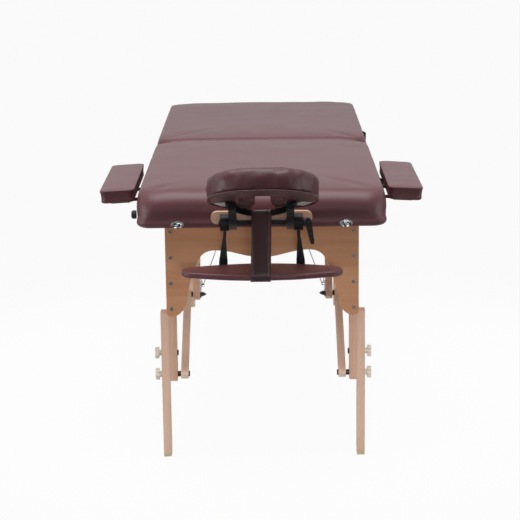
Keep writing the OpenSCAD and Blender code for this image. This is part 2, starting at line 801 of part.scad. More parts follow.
// Middle of a latch, on the flat of the end face
latch_z = under_z + latch_w / 3;
latch_pin_z = latch_z - latch_w / 4.5;
latch_pin_r = 1.25;
latch_pin_y = latch_face_y - latch_t - 2 * latch_pin_r;
latch_tongue_w = latch_w / 3;

module latch_outline() {
    circle(r = latch_w * 0.32);
    for (side = [-1, 1]) translate([side * latch_w * 0.28, 0]) circle(r = latch_w * 0.22);
}

module latch_plates() {
    screw_r = latch_w / 14;
    screw_x = latch_w * 0.34;
    ear_t = 2 * latch_pin_r;
    ear_x = latch_tongue_w / 2 + soft_gap;
    color(steel_colour) for (side = [-1, 1]) translate([side * latch_x, 0, 0]) {
        along_y(latch_face_y - latch_t, latch_face_y) translate([0, latch_z]) latch_outline();
        for (lobe = [-1, 1])
            rod_y(latch_face_y - latch_t - screw_r / 2, latch_face_y - latch_t,
                lobe * screw_x, latch_z, screw_r);
        for (x = [-ear_x - ear_t, ear_x]) latch_ear(x, x + ear_t);
        rod_x(-ear_x - ear_t, ear_x + ear_t, latch_pin_y, latch_pin_z, latch_pin_r);
    }
}

// Ear that carries the latch pin
module latch_ear(x0, x1) {
    rod_x(x0, x1, latch_pin_y, latch_pin_z, 2 * latch_pin_r);
    block([x0, latch_pin_y, latch_pin_z - 2 * latch_pin_r],
        [x1, latch_face_y - latch_t / 2, latch_pin_z + 2 * latch_pin_r]);
}

// Hooked tongue that swings out and down on its pin
module latch_lever(left) {
    barrel_r = latch_pin_r + 1.5 * latch_t / 2;
    tongue_l = latch_w * 0.45;
    slot_l = tongue_l / 3;
    row() on_side(left) translate([latch_x, 0, 0]) color(steel_colour) difference() {
        union() {
            rod_x(-latch_tongue_w / 2, latch_tongue_w / 2, latch_pin_y, latch_pin_z,
                latch_pin_r + latch_t / 2);
            block([-latch_tongue_w / 2, latch_pin_y - latch_pin_r, latch_pin_z],
                [latch_tongue_w / 2, latch_pin_y + latch_pin_r / 2, latch_pin_z + tongue_l]);
            block([-latch_tongue_w / 2, latch_pin_y - 1.5 * barrel_r, latch_pin_z + tongue_l - latch_t],
                [latch_tongue_w / 2, latch_pin_y, latch_pin_z + tongue_l]);
        }
        rod_x(-latch_tongue_w, latch_tongue_w, latch_pin_y, latch_pin_z, latch_pin_r + run_gap);
        block([-latch_tongue_w / 6, latch_pin_y - cut_over, latch_pin_z + tongue_l / 2],
            [latch_tongue_w / 6, latch_pin_y + cut_over, latch_pin_z + tongue_l / 2 + slot_l]);
    }
}

// Plates on the foot end that the tongues hook into when the table is shut
module catch_plates() {
    stud_r = latch_w / 9;
    color(steel_colour) at_foot(true) for (side = [-1, 1]) translate([side * latch_x, 0, 0]) {
        along_y(latch_face_y - latch_t, latch_face_y) translate([0, latch_z]) latch_outline();
        rod_y(-catch_out, latch_face_y - latch_t, 0, latch_z, stud_r);
    }
}

module side_bumper() {
    sit_x = table_w / 2 - 0.7 * cushion_draw_in + soft_gap;
    color(black_colour) mirror([1, 0, 0])
        translate([sit_x, leg_front_y, under_z + rail_h * 0.58]) rotate([0, 90, 0]) {
            cylinder(h = bumper_t * 0.75, r = bumper_d / 2);
            translate([0, 0, bumper_t * 0.75])
                cylinder(h = bumper_t * 0.25, r1 = bumper_d / 2, r2 = bumper_d / 3);
        }
}

// Bushes in the head half that guide the cradle posts and the arm pad rods
module bushes() {
    flange_t = 2.2;
    flange_r = 1.45 * bush_post_r;
    color(black_colour) {
        difference() {
            for (side = [-1, 1]) {
                rod_y(flange_t, end_face_y, side * post_x, post_z, bush_post_r);
                rod_y(0, flange_t, side * post_x, post_z, flange_r);
            }
            post_holes(post_d / 2 + run_gap);
        }
        difference() {
            both_sides() droop() for (y = rod_ys)
                rod_x(rail_inner_x + run_gap, table_w / 2 - cushion_draw_in, y, rod_local_z,
                    bush_rod_r);
            pad_rod_holes(rod_d / 2 + run_gap);
        }
    }
}

// Face cradle

cam_pin_x = hub_out_x + 0.6 * hub_w;
cam_pin_r = 2.5;
cam_eye_r = 5.5;
cam_eye_t = 10;
lever_t = 20;
post_seat = 0.7 * crossbar_t;

// Puts children in the frame of the tilted platform, with -Y forward along it
module tilted() {
    translate([0, hub_y, hub_z]) rotate([-cradle_tilt, 0, 0]) children();
}
function tilt_point(v, n) = [hub_y - v * cos(cradle_tilt) + n * sin(cradle_tilt),
    hub_z + v * sin(cradle_tilt) + n * cos(cradle_tilt)];

module cradle_posts() {
    color(steel_colour) for (side = [-1, 1])
        rod_y(crossbar_back - post_seat, crossbar_back + post_len, side * post_x, post_z, post_d / 2);
}

// Bolts through the hubs, the right one with an eye and a pin for the lever
module tilt_bolts() {
    nut_t = bolt_head_h;
    nut_x = arm_in_x - soft_gap;
    color(black_colour) {
        mirror([1, 0, 0]) {
            rod_x(nut_x, hub_out_x + nut_t, hub_y, hub_z, bolt_d / 2);
            rod_x(hub_out_x + run_gap, hub_out_x + nut_t, hub_y, hub_z, bolt_head_d / 2);
        }
        rod_x(nut_x, cam_pin_x, hub_y, hub_z, bolt_d / 2);
        rod_y(hub_y - cam_eye_t / 2, hub_y + cam_eye_t / 2, cam_pin_x, hub_z, cam_eye_r);
        rod_y(hub_y - lever_t / 2, hub_y + lever_t / 2, cam_pin_x, hub_z, cam_pin_r);
        both_sides() rod_x(nut_x - nut_t, nut_x, hub_y, hub_z, bolt_head_d / 2);
    }
}

// Wooden bar with round ends between the posts and the yoke
module cradle_crossbar() {
    end_r = crossbar_h / 2;
    color(panel_colour) difference() {
        along_y(crossbar_y0, crossbar_back) union() {
            translate([-crossbar_w / 2 + end_r, post_z - end_r])
                square([crossbar_w - crossbar_h, crossbar_h]);
            for (side = [-1, 1]) translate([side * (crossbar_w / 2 - end_r), post_z]) circle(r = end_r);
        }
        for (side = [-1, 1])
            rod_y(crossbar_back - post_seat - run_gap, crossbar_back + cut_over, side * post_x, post_z,
                post_d / 2 + run_gap);
    }
}

// Two clamp hubs on short necks, joined by a thin arched member
module cradle_yoke() {
    neck_h = 0.62 * hub_d;
    member_t = 10;
    member_h = 12;
    member_rise = 4;
    member_y1 = crossbar_y0 - member_h / 3;
    bow_r = (hub_in_x * hub_in_x + member_rise * member_rise) / (2 * member_rise);
    bow_z = hub_z - member_h / 4 + member_rise - bow_r;
    washer_t = 5;
    color(black_colour) difference() {
        union() {
            for (side = [-1, 1]) {
                x = side * post_x;
                rod_x(x - hub_w / 2, x + hub_w / 2, hub_y, hub_z, hub_d / 2);
                block([x - hub_w / 2, hub_y, hub_z - neck_h / 2],
                    [x + hub_w / 2, crossbar_y0, hub_z + neck_h / 2]);
            }
            rod_x(hub_out_x, hub_out_x + washer_t, hub_y, hub_z, 0.7 * bolt_head_d);
            along_y(member_y1 - member_t, member_y1) intersection() {
                translate([0, bow_z]) difference() {
                    circle(r = bow_r, $fn = 256);
                    circle(r = bow_r - member_h, $fn = 256);
                }
                translate([-hub_in_x - run_gap, hub_z - hub_d])
                    square([2 * hub_in_x + 2 * run_gap, 2 * hub_d]);
            }
        }
        rod_x(-hub_out_x - cut_over, hub_out_x + washer_t + cut_over, hub_y, hub_z, bolt_d / 2 + run_gap);
    }
}

// Curved arm from the hub up to the ring, outlined in Y and Z of the tilted frame
module arm_outline() {
    eye_r = 0.43 * hub_d;
    under = ring_top_n - ring_h;
    tip = ring_centre_v + ring_wall;
    circle(r = eye_r);
    polygon(concat([[0, eye_r], [0, -eye_r]],
        [for (p = cubic([0, -eye_r], [tip * 0.4, -eye_r * 1.3], [tip * 0.75, -eye_r * 0.7],
            [tip, under], 8)) [-p[0], p[1]]],
        [[-tip, ring_top_n - ring_h / 8], [-ring_r / 3, ring_top_n - ring_h / 2]]));
}

// U-shaped ring, open at the front, on two curved arms
module cradle_platform() {
    eye_r = 0.43 * hub_d;
    color(black_colour) tilted() {
        intersection() {
            translate([0, 0, ring_top_n - ring_h]) linear_extrude(ring_h) difference() {
                translate([0, -ring_centre_v]) circle(r = ring_r, $fn = 96);
                translate([0, -ring_centre_v]) circle(r = ring_in_r, $fn = 96);
                translate([-ring_r, -ring_end_v - ring_r]) square([2 * ring_r, ring_r]);
            }
            // The band dips towards the middle of the arc
            along_y(-ring_end_v - ring_wall, 0) translate([0, ring_dip_n + ring_dip_r])
                difference() {
                    circle(r = ring_dip_r + ring_band, $fn = 240);
                    circle(r = ring_dip_r, $fn = 240);
                }
        }
        both_sides() difference() {
            along_x(arm_in_x, arm_out_x) arm_outline();
            rod_x(arm_in_x - cut_over, arm_out_x + cut_over, 0, 0, bolt_d / 2 + run_gap);
            // Recess between the ribs on the inner face
            for (share = [0.34, 0.56, 0.78])
                translate([arm_in_x - cut_over, -share * ring_centre_v - ring_wall / 2, -eye_r / 3])
                    cube([arm_t / 3 + cut_over, 0.8 * ring_wall, eye_r * 0.7]);
        }
    }
}

// Cam lever with cut-outs, hanging beside the right hub
module cradle_lever() {
    cam_r = 0.38 * hub_w;
    tip_r = 0.6 * cam_r;
    tip = [cam_pin_x + 0.42 * hub_w, hub_z - 1.22 * hub_d];
    way = tip - [cam_pin_x, hub_z];
    lean = atan2(way[1], way[0]);
    slot_half = cam_eye_t / 2 + soft_gap;
    arc = 20;
    row() color(black_colour) difference() {
        along_y(hub_y - lever_t / 2 + run_gap, hub_y + lever_t / 2 - run_gap) difference() {
            polygon(concat(
                [for (a = [lean + 100 : arc : lean + 260])
                    [cam_pin_x + cam_r * cos(a), hub_z + cam_r * sin(a)]],
                [for (a = [lean - 80 : arc : lean + 80])
                    [tip[0] + tip_r * cos(a), tip[1] + tip_r * sin(a)]]));
            for (share = [0.4, 0.6, 0.8])
                translate([cam_pin_x + share * way[0], hub_z + share * way[1]])
                    rotate(lean) circle(r = 0.42 * cam_r, $fn = 3);
        }
        rod_y(hub_y - lever_t, hub_y + lever_t, cam_pin_x, hub_z, cam_pin_r + run_gap);
        rod_y(hub_y - slot_half, hub_y + slot_half, cam_pin_x, hub_z, cam_eye_r + soft_gap);
        block([cam_pin_x - 2 * cam_r, hub_y - slot_half, hub_z - bolt_d / 2 - soft_gap],
            [cam_pin_x + bolt_d / 2 + soft_gap, hub_y + slot_half, hub_z + 2 * cam_r]);
    }
}

module cradle_pillow() {
    color(vinyl_colour) tilted() translate([pillow_shift, 0, pillow_base_n]) skin(pillow_rings);
}

// Arm shelf and straps

shelf_taper = 0.46;
shelf_half = shelf_depth / 2;
shelf_tip_r = shelf_half * (1 - shelf_taper);
shelf_arm = shelf_w / 2 - shelf_tip_r;
shelf_mid_y = shelf_front + shelf_half;
// Half the depth at x, and a lens outline drawn in by the given inset
function shelf_half_at(x) = shelf_half * (1 - shelf_taper * pow(x / shelf_arm, 2));
function shelf_run(turn) = [for (i = [0 : 14]) turn * shelf_arm * (1 - i / 7)];
function shelf_ring(inset, z) = concat(
    [for (x = shelf_run(1)) [x, shelf_mid_y + shelf_half_at(x) - inset, z]],
    [for (i = [1 : 7]) let (a = 90 + 180 * i / 8, r = shelf_tip_r - inset)
        [-shelf_arm + r * cos(a), shelf_mid_y + r * sin(a), z]],
    [for (x = shelf_run(-1)) [x, shelf_mid_y - shelf_half_at(x) + inset, z]],
    [for (i = [1 : 7]) let (a = 270 + 180 * i / 8, r = shelf_tip_r - inset)
        [shelf_arm + r * cos(a), shelf_mid_y + r * sin(a), z]]);

module arm_shelf() {
    edge = shelf_t * 0.35;
    low = shelf_top - shelf_t;
    profile = concat([for (a = [0, 45, 90]) [edge * (1 - sin(a)), edge * (1 - cos(a))]],
        [for (a = [0, 30, 60, 90]) [edge * (1 - cos(a)), 0.92 * shelf_t - edge + edge * sin(a)]],
        [[shelf_tip_r / 2, 0.98 * shelf_t], [0.9 * shelf_tip_r, shelf_t]]);
    color(vinyl_colour) skin([for (p = profile) shelf_ring(p[0], low + p[1])]);
}

// Band of webbing along a run of points in Y and Z
module band(points) {
    for (i = [0 : len(points) - 2]) link(points[i], points[i + 1], strap_t);
}

// Strap from the ring down round the front edge of the shelf
module front_strap() {
    off = strap_t / 2 + soft_gap;
    lip = shelf_t / 9;
    under_l = shelf_depth / 4;
    low = shelf_top - shelf_t;
    // The ring's inner wall at the edges of the strap
    wall_v = ring_centre_v - sqrt(ring_in_r * ring_in_r - front_strap_w * front_strap_w / 4);
    color(vinyl_colour) along_x(-front_strap_w / 2, front_strap_w / 2) band([
        tilt_point(wall_v + off, ring_dip_n - strap_t),
        tilt_point(wall_v + off, ring_dip_n - ring_band / 2),
        [shelf_front - off, shelf_top - lip], [shelf_front - off, low + lip],
        [shelf_front + lip, low - off], [shelf_front + under_l, low - off]]);
}

// Webbing from the necks of the yoke down round the rear edge of the shelf
module rear_straps() {
    off = strap_t / 2 + soft_gap;
    lip = shelf_t / 9;
    low = shelf_top - shelf_t;
    edge_y = shelf_mid_y + shelf_half_at(post_x - rear_strap_w / 2);
    neck_low = hub_z - 0.31 * hub_d - soft_gap;
    color(black_colour) both_sides()
        along_x(post_x - rear_strap_w / 2, post_x + rear_strap_w / 2) band([
            [crossbar_y0 - strap_t - hub_reach / 3, neck_low - strap_t / 2],
            [crossbar_y0 - strap_t, neck_low - strap_t / 2],
            [edge_y + off, shelf_top - lip], [edge_y + off, low + lip],
            [edge_y - lip, low - off], [edge_y - shelf_half / 2, low - off]]);
}

// Arm pads

module arm_pad(left) {
    color(vinyl_colour) row() on_side(left) droop() translate([0, 0, pad_top])
        padded_block(pad_in_x, pad_y0, pad_in_x + pad_w, pad_y0 + pad_l, pad_t,
            pad_t * 0.22, pad_t * 0.15, pad_w * 0.18, pad_t * 0.05, pad_t * 0.06);
}

// Rods with the cleats that fix them under the pad
module pad_rods(left) {
    cleat_x0 = pad_in_x + 0.25 * pad_w;
    cleat_x1 = pad_in_x + 0.8 * pad_w;
    color(black_colour) row() on_side(left) droop() for (y = rod_ys) {
        rod_x(rod_end_x, cleat_x0 + rod_d, y, rod_local_z, rod_d / 2);
        block([cleat_x0, y - cleat_l / 2, pad_hinge_z - cleat_h],
            [cleat_x1, y + cleat_l / 2, pad_hinge_z - soft_gap]);
    }
}

row() cushion(false);  // head_cushion
row() deck();  // head_deck
row() frame_rails(false);  // head_frame_rails
row() stringers();  // head_stringers
row() leg_brackets();  // head_leg_brackets
row() handle();  // head_handle
row() hinge_leaves(false);  // head_hinge_leaves
row() end_panel();  // head_end_panel
row() legs();  // head_legs
row() leg_fasteners();  // head_leg_fasteners
row() braces();  // head_braces
row() struts();  // head_struts
row() knee_hardware();  // head_knee_hardware
row() cables();  // head_cables
row() at_foot(true) cushion(true);  // foot_cushion
row() at_foot(true) deck();  // foot_deck
row() at_foot(true) frame_rails(true);  // foot_frame_rails
row() at_foot(true) stringers();  // foot_stringers
row() at_foot(true) leg_brackets();  // foot_leg_brackets
row() at_foot(true) handle();  // foot_handle
row() at_foot(true) hinge_leaves(true);  // foot_hinge_leaves
row() at_foot(true) end_panel();  // foot_end_panel
row() at_foot(true) legs();  // foot_legs
row() at_foot(true) leg_fasteners();  // foot_leg_fasteners
row() at_foot(true) braces();  // foot_braces
row() at_foot(true) struts();  // foot_struts
row() at_foot(true) knee_hardware();  // foot_knee_hardware
row() at_foot(true) cables();  // foot_cables
leg_extension(true, false);  // head_left_extension
leg_extension(false, false);  // head_right_extension
leg_extension(true, true);  // foot_left_extension
leg_extension(false, true);  // foot_right_extension
clamp_knob(true, false, upper_bolt_z);  // head_left_upper_knob
clamp_knob(true, false, lower_bolt_z);  // head_left_lower_knob
clamp_knob(false, false, upper_bolt_z);  // head_right_upper_knob
clamp_knob(false, false, lower_bolt_z);  // head_right_lower_knob
clamp_knob(true, true, upper_bolt_z);  // foot_left_upper_knob
clamp_knob(true, true, lower_bolt_z);  // foot_left_lower_knob
clamp_knob(false, true, upper_bolt_z);  // foot_right_upper_knob
clamp_knob(false, true, lower_bolt_z);  // foot_right_lower_knob
row() latch_plates();
latch_lever(true);  // left_latch_lever
latch_lever(false);  // right_latch_lever
row() catch_plates();
row() side_bumper();
row() cradle_posts();
row() tilt_bolts();
row() cradle_crossbar();
row() cradle_yoke();
row() cradle_platform();
cradle_lever();
row() cradle_pillow();
row() arm_shelf();
row() front_strap();
row() rear_straps();
row() bushes();
arm_pad(true);  // left_arm_pad
pad_rods(true);  // left_pad_rods
arm_pad(false);  // right_arm_pad
pad_rods(false);  // right_pad_rods
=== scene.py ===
# %% [markdown]
# # A portable massage table, cell by cell
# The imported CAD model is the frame: its legs, boards, bolts and plastic parts are already in
# their places. This file gives each of them a finish, and makes the soft pieces that a solid
# model can only hint at: the upholstery, the face pillow, the straps and the handles.
# All lengths are metres in the frame of the CAD: X across the table, Y from the head end to
# the foot end, Z up from the floor.

# %% Load the frame
import bpy
import math
from mathutils import Vector, Matrix, noise


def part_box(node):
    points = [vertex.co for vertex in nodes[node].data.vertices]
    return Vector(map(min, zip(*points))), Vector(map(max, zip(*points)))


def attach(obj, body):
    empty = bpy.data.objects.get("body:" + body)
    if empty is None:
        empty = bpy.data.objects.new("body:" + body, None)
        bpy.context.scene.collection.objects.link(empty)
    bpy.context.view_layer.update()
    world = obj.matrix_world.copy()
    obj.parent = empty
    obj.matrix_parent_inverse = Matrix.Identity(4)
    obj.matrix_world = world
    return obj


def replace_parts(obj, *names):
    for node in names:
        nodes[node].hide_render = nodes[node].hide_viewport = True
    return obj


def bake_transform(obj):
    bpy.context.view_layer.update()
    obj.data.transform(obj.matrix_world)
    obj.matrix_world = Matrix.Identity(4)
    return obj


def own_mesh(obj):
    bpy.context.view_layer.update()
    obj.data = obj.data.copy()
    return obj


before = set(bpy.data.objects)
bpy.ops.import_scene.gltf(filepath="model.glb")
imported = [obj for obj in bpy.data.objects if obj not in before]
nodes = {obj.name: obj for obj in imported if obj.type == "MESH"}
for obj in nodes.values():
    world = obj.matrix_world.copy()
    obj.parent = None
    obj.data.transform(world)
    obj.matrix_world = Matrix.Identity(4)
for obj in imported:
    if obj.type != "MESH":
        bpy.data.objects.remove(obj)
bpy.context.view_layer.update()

scene = bpy.context.scene
head_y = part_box("head_cushion")[0].y
foot_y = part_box("foot_cushion")[1].y
print(len(nodes), "nodes, head end at y =", round(head_y, 4),
      "and foot end at y =", round(foot_y, 4))

# %% [markdown]
# ## Camera
# The photograph looks at the head end from about head height, from far off with a long lens.
# The numbers come from fitting a camera to the corners of the table in the photograph. The
# camera's axes are built from a pitch, a yaw and a small roll, so the frame is the same.

# %% Camera
camera_pitch = math.radians(13.228)
camera_yaw = math.radians(-0.283)
camera_roll = math.radians(-0.690)
camera_data = bpy.data.cameras.new("camera")
focal_pixels, picture_pixels = 1687.5, 520
camera_data.sensor_width = 36.0
camera_data.lens = focal_pixels * camera_data.sensor_width / picture_pixels
camera_data.clip_start, camera_data.clip_end = 0.1, 60
camera = bpy.data.objects.new("camera", camera_data)
scene.collection.objects.link(camera)
ahead = Vector((math.sin(camera_yaw) * math.cos(camera_pitch),
                math.cos(camera_yaw) * math.cos(camera_pitch), -math.sin(camera_pitch)))
level = Vector((math.cos(camera_yaw), -math.sin(camera_yaw), 0))
above = level.cross(ahead)
right = level * math.cos(camera_roll) + above * math.sin(camera_roll)
upward = above * math.cos(camera_roll) - level * math.sin(camera_roll)
turn = Matrix((right, upward, -ahead)).transposed()
camera_x, camera_distance, camera_height = 0.0171, 4.6072, 1.6822
stand = Matrix.Translation((camera_x, head_y - camera_distance, camera_height))
camera.matrix_world = stand @ turn.to_4x4()
scene.camera = camera
scene.view_settings.view_transform = "Standard"
print("camera at", tuple(round(c, 3) for c in camera.location), "lens", round(camera_data.lens, 1))

# %% [markdown]
# ## Shader maths as Python
# A node tree is easier to read as an expression. `Value` wraps one socket and overloads the
# operators, so `0.4 + 0.1 * grain` adds the Math nodes it needs. Every other node comes from
# `Tree.node`, which takes the node's type, its settings and what goes into its sockets. A
# `Finish` is the tree of a material.

# %% Values and finishes
def operator(operation, swapped=False):
    """A method for one of Python's operators, which adds the Math node it stands for."""
    def method(self, other):
        return self.maths(operation, *((other, self) if swapped else (self, other)))
    return method


class Value:
    """One socket of a node tree that Python's operators work on."""

    def __init__(self, tree, socket):
        self.tree, self.socket = tree, socket

    def maths(self, operation, *values):
        settings = {"operation": operation}
        return self.tree.node("ShaderNodeMath", settings, dict(enumerate(values)))

    __add__, __radd__ = operator("ADD"), operator("ADD", True)
    __sub__, __rsub__ = operator("SUBTRACT"), operator("SUBTRACT", True)
    __mul__, __rmul__ = operator("MULTIPLY"), operator("MULTIPLY", True)
    __gt__, __lt__ = operator("GREATER_THAN"), operator("LESS_THAN")

    def __abs__(self):
        return self.maths("ABSOLUTE", self)

    def sine(self):
        return self.maths("SINE", self)

    def clamped(self):
        return self.tree.node("ShaderNodeClamp", {}, {"Value": self})


class Tree:
    """A node tree. `node` makes any node, and the rest are short names for common ones."""

    def __init__(self, tree):
        self.tree = tree

    def feed(self, socket, value):
        """Links a Value to a socket, or writes a plain number or colour into it."""
        if isinstance(value, Value):
            self.tree.links.new(value.socket, socket)
        else:
            socket.default_value = value

    def node(self, kind, settings, inputs, output=0):
        """Makes a node and gives one of its outputs; "stops" are the colours of a ramp."""
        made = self.tree.nodes.new(kind)
        for key, value in settings.items():
            if key == "stops":
                while len(made.color_ramp.elements) < len(value):
                    made.color_ramp.elements.new(0.5)
                for element, (place, tint) in zip(made.color_ramp.elements, value):
                    element.position, element.color = place, tint
            else:
                setattr(made, key, value)
        for key, value in inputs.items():
            found = made.inputs[key] if isinstance(key, int) else next(
                s for s in made.inputs if s.name == key and s.enabled)
            self.feed(found, value)
        shown = [s for s in made.outputs if s.enabled]
        return Value(self, made.outputs[output] if isinstance(output, str) else shown[output])

    def place(self, kind="Object"):
        """The point on the object in metres, or another kind of coordinate."""
        return self.node("ShaderNodeTexCoord", {}, {}, kind)

    def parts(self, vector):
        split = self.tree.nodes.new("ShaderNodeSeparateXYZ")
        self.feed(split.inputs[0], vector)
        return [Value(self, s) for s in split.outputs]

    def vector(self, operation, a, b, output=0):
        return self.node("ShaderNodeVectorMath", {"operation": operation}, {0: a, 1: b}, output)

    def scaled(self, vector, factor):
        return self.node("ShaderNodeVectorMath", {"operation": "SCALE"},
                         {0: vector, "Scale": factor})

    def speckle(self, at, scale, detail=3.0, roughness=0.5):
        return self.node("ShaderNodeTexNoise", {},
                         {"Vector": at, "Scale": scale, "Detail": detail, "Roughness": roughness})

    def mix(self, share, first, second):
        return self.node("ShaderNodeMix", {"data_type": "RGBA"},
                         {"Factor": share, "A": first, "B": second})

    def mix_shaders(self, share, first, second):
        return self.node("ShaderNodeMixShader", {}, {0: share, 1: first, 2: second})

    def bump(self, height, distance, strength=1.0):
        return self.node("ShaderNodeBump", {}, {"Height": height, "Distance": distance,
                                                "Strength": strength})

    def ray(self, kind):
        return self.node("ShaderNodeLightPath", {}, {}, f"Is {kind} Ray")


class Finish(Tree):
    """A procedural material with its tree and its main shader."""

    def __init__(self, name, fixed):
        self.material = bpy.data.materials.new(name)
        self.material.use_nodes = True
        super().__init__(self.material.node_tree)
        self.shader = self.tree.nodes["Principled BSDF"]
        for key, value in fixed.items():
            self.shader.inputs[key].default_value = value

    def surface(self, **links):
        """Feeds the main shader; base_color goes into Base Color, and so on."""
        for key, value in links.items():
            self.feed(self.shader.inputs[key.replace("_", " ").title()], value)


def colour(red, green, blue):
    """A colour given as it looks on a screen, from 0 to 255, in the linear values of a shader."""
    def linear(v):
        v /= 255
        return v / 12.92 if v <= 0.04045 else ((v + 0.055) / 1.055) ** 2.4
    return (linear(red), linear(green), linear(blue), 1.0)


print("wine red is", tuple(round(c, 3) for c in colour(102, 60, 65)[:3]))

# %% [markdown]
# ## Vinyl
# The upholstery is a soft wine red imitation leather. Looked at from the side it mirrors the
# pale room, and looked at straight on it is dark, which a plain dielectric with a middling
# roughness does by itself. A fine pebbled grain and a slow change of tone keep it from looking
# like plastic. The strap's own version is darker and has a stitch line along both hems.

# %% Vinyl
def vinyl(name, tone=1.0, hem=None):
    """Vinyl; `hem` is the strap's middle in x and the distance from it to each stitch line."""
    base = colour(102 * tone, 60 * tone, 65 * tone)
    light = colour(114 * tone, 71 * tone, 76 * tone)
    made = Finish(name, {"IOR": 1.45, "Specular IOR Level": 0.5})
    at = made.place()
    slow = made.speckle(at, 9.0, 2.0)
    pebbles = made.node("ShaderNodeTexVoronoi", {"feature": "DISTANCE_TO_EDGE"},
                        {"Vector": at, "Scale": 620.0})
    pores = made.speckle(at, 1400.0, 2.0)
    grain = pebbles * 1.6 + 0.25 * pores
    tint = made.mix((slow * 0.8).clamped(), base, light)
    if hem is not None:
        middle, half = hem
        across = abs(made.parts(at)[0] - middle)
        stitched = (1 - abs(across - half) * 900.0).clamped()
        grain = grain - stitched * 6.0
        tint = made.mix((across > half) * 0.35, tint, colour(104, 76, 80))
        tint = made.mix(stitched * 0.7, tint, colour(20, 14, 15))
    made.surface(base_color=tint,
                 roughness=0.26 + 0.1 * slow + 0.05 * pores,
                 normal=made.bump(grain, 0.00035, 0.55))
    return made.material


vinyl_main = vinyl("vinyl")
vinyl_strap = vinyl("vinyl_strap", 0.56, (-0.003, 0.0205))
vinyl_pillow = vinyl("vinyl_pillow", 0.88)
print("vinyl finishes:", vinyl_main.name, vinyl_strap.name, vinyl_pillow.name)

# %% [markdown]
# ## Beech
# The legs, stays and boards are pale pinkish beech with a satin lacquer. Beech shows long soft
# bands and short dark flecks along the grain. The pattern is a noise stretched along one
# direction, so each piece is given the direction in which its own grain runs. The angles of the
# braces and the struts come from their rise and run in millimetres.

# %% Wood
def wood(name, grain, pale, deep, fleck=0.22, cap_below=None, head_outside=None):
    """Beech along `grain`; pale foot caps below a height or black bolt heads outside an x."""
    made = Finish(name, {"IOR": 1.5, "Coat Roughness": 0.25})
    at = made.place()
    along = Vector(grain).normalized()
    run = made.vector("DOT_PRODUCT", at, tuple(along), "Value")
    drawn = made.vector("SUBTRACT", at, made.scaled(tuple(along), run * 0.955))
    bands = made.speckle(drawn, 26.0, 4.0, 0.55)
    threads = made.speckle(drawn, 420.0, 3.0, 0.6)
    short = made.vector("SUBTRACT", at, made.scaled(tuple(along), run * 0.86))
    flecks = ((made.speckle(short, 620.0, 1.0) - 0.60) * 9.0).clamped()
    tone = made.node("ShaderNodeValToRGB", {"stops": [(0.28, deep), (0.72, pale)]}, {"Fac": bands})
    dark = tuple(c * 0.62 for c in deep[:3]) + (1.0,)
    tinted = made.mix((threads - 0.5) * 0.5, tone, dark)
    tinted = made.mix(flecks * fleck, tinted, dark)
    rough = 0.42 + 0.12 * threads
    if cap_below is not None:
        low = made.parts(at)[2] < cap_below
        tinted = made.mix(low, tinted, colour(214, 196, 160))
        rough = rough + low * 0.1
    if head_outside is not None:
        steel = abs(made.parts(at)[0]) > head_outside
        tinted = made.mix(steel, tinted, colour(22, 22, 24))
        rough = rough - steel * 0.12
    made.surface(base_color=tinted, roughness=rough, coat_weight=0.12,
                 normal=made.bump(threads, 0.00012, 0.5))
    return made.material


beech_pale, beech_deep = colour(242, 206, 182), colour(224, 182, 156)
leg_pale, leg_deep = colour(232, 190, 162), colour(208, 158, 130)
panel_pale, panel_deep = colour(222, 163, 120), colour(200, 138, 96)
brace_rise, brace_run = 167, 274
strut_rise, strut_run = 723 - 413, 525.94 - 349
knee_up = math.atan2(brace_rise, brace_run)
strut_up = math.atan2(strut_rise, strut_run)
foot_cap_top = 0.0121
leg_wood = wood("beech_leg", (0, 0, 1), leg_pale, leg_deep)
extension_wood = wood("beech_extension", (0, 0, 1), beech_pale, beech_deep,
                      cap_below=foot_cap_top)
rail_wood = wood("beech_rail", (0, 1, 0), beech_pale, beech_deep)
panel_wood = wood("beech_panel", (1, 0, 0), panel_pale, panel_deep, 0.15)
bar_wood = wood("beech_bar", (1, 0, 0), leg_pale, leg_deep, 0.15)
print("brace rises at", round(math.degrees(knee_up), 1), "degrees, strut at",
      round(math.degrees(strut_up), 1))

# %% [markdown]
# ## Metal and plastic
# The latches and screws are bright plated steel, the cradle is black glass-filled nylon with a
# faint spark-eroded texture, and the knobs are cream plastic. Each is a Principled shader whose
# roughness is broken up by noise at the scale of the real surface.

# %% Metal and plastic
def metal(name, tone, rough):
    made = Finish(name, {"Metallic": 1.0})
    at = made.place()
    smears = made.speckle(at, 60.0, 3.0)
    lines = made.speckle(made.vector("MULTIPLY", at, (1.0, 14.0, 14.0)), 260.0, 2.0)
    dull = tuple(c * 0.82 for c in tone[:3]) + (1.0,)
    made.surface(base_color=made.mix(smears, tone, dull), roughness=rough + 0.14 * smears,
                 normal=made.bump(lines, 0.00006, 0.5))
    return made.material


def moulded(name, tone, rough, texture=0.0001, shine=0.5):
    made = Finish(name, {"IOR": 1.48, "Specular IOR Level": shine})
    at = made.place()
    fine = made.speckle(at, 900.0, 2.0)
    cloudy = made.speckle(at, 22.0, 3.0)
    worn = tuple(min(0.95, c * 1.2 + 0.006) for c in tone[:3]) + (1.0,)
    made.surface(base_color=made.mix(cloudy * 0.45, tone, worn),
                 roughness=rough + 0.12 * cloudy, normal=made.bump(fine, texture, 0.6))
    return made.material


bright_steel = metal("plated_steel", (0.66, 0.67, 0.69, 1.0), 0.14)
wire_steel = metal("wire_steel", (0.62, 0.60, 0.56, 1.0), 0.34)
black_nylon = moulded("black_nylon", (0.008, 0.009, 0.011, 1.0), 0.34, 0.00018, 0.32)
black_metal = moulded("black_coating", (0.010, 0.010, 0.011, 1.0), 0.28)
black_rubber = moulded("black_rubber", (0.02, 0.02, 0.021, 1.0), 0.55, 0.0002)
cream_knob = moulded("cream_plastic", colour(240, 228, 212), 0.34)
print("metal and plastic finishes made")

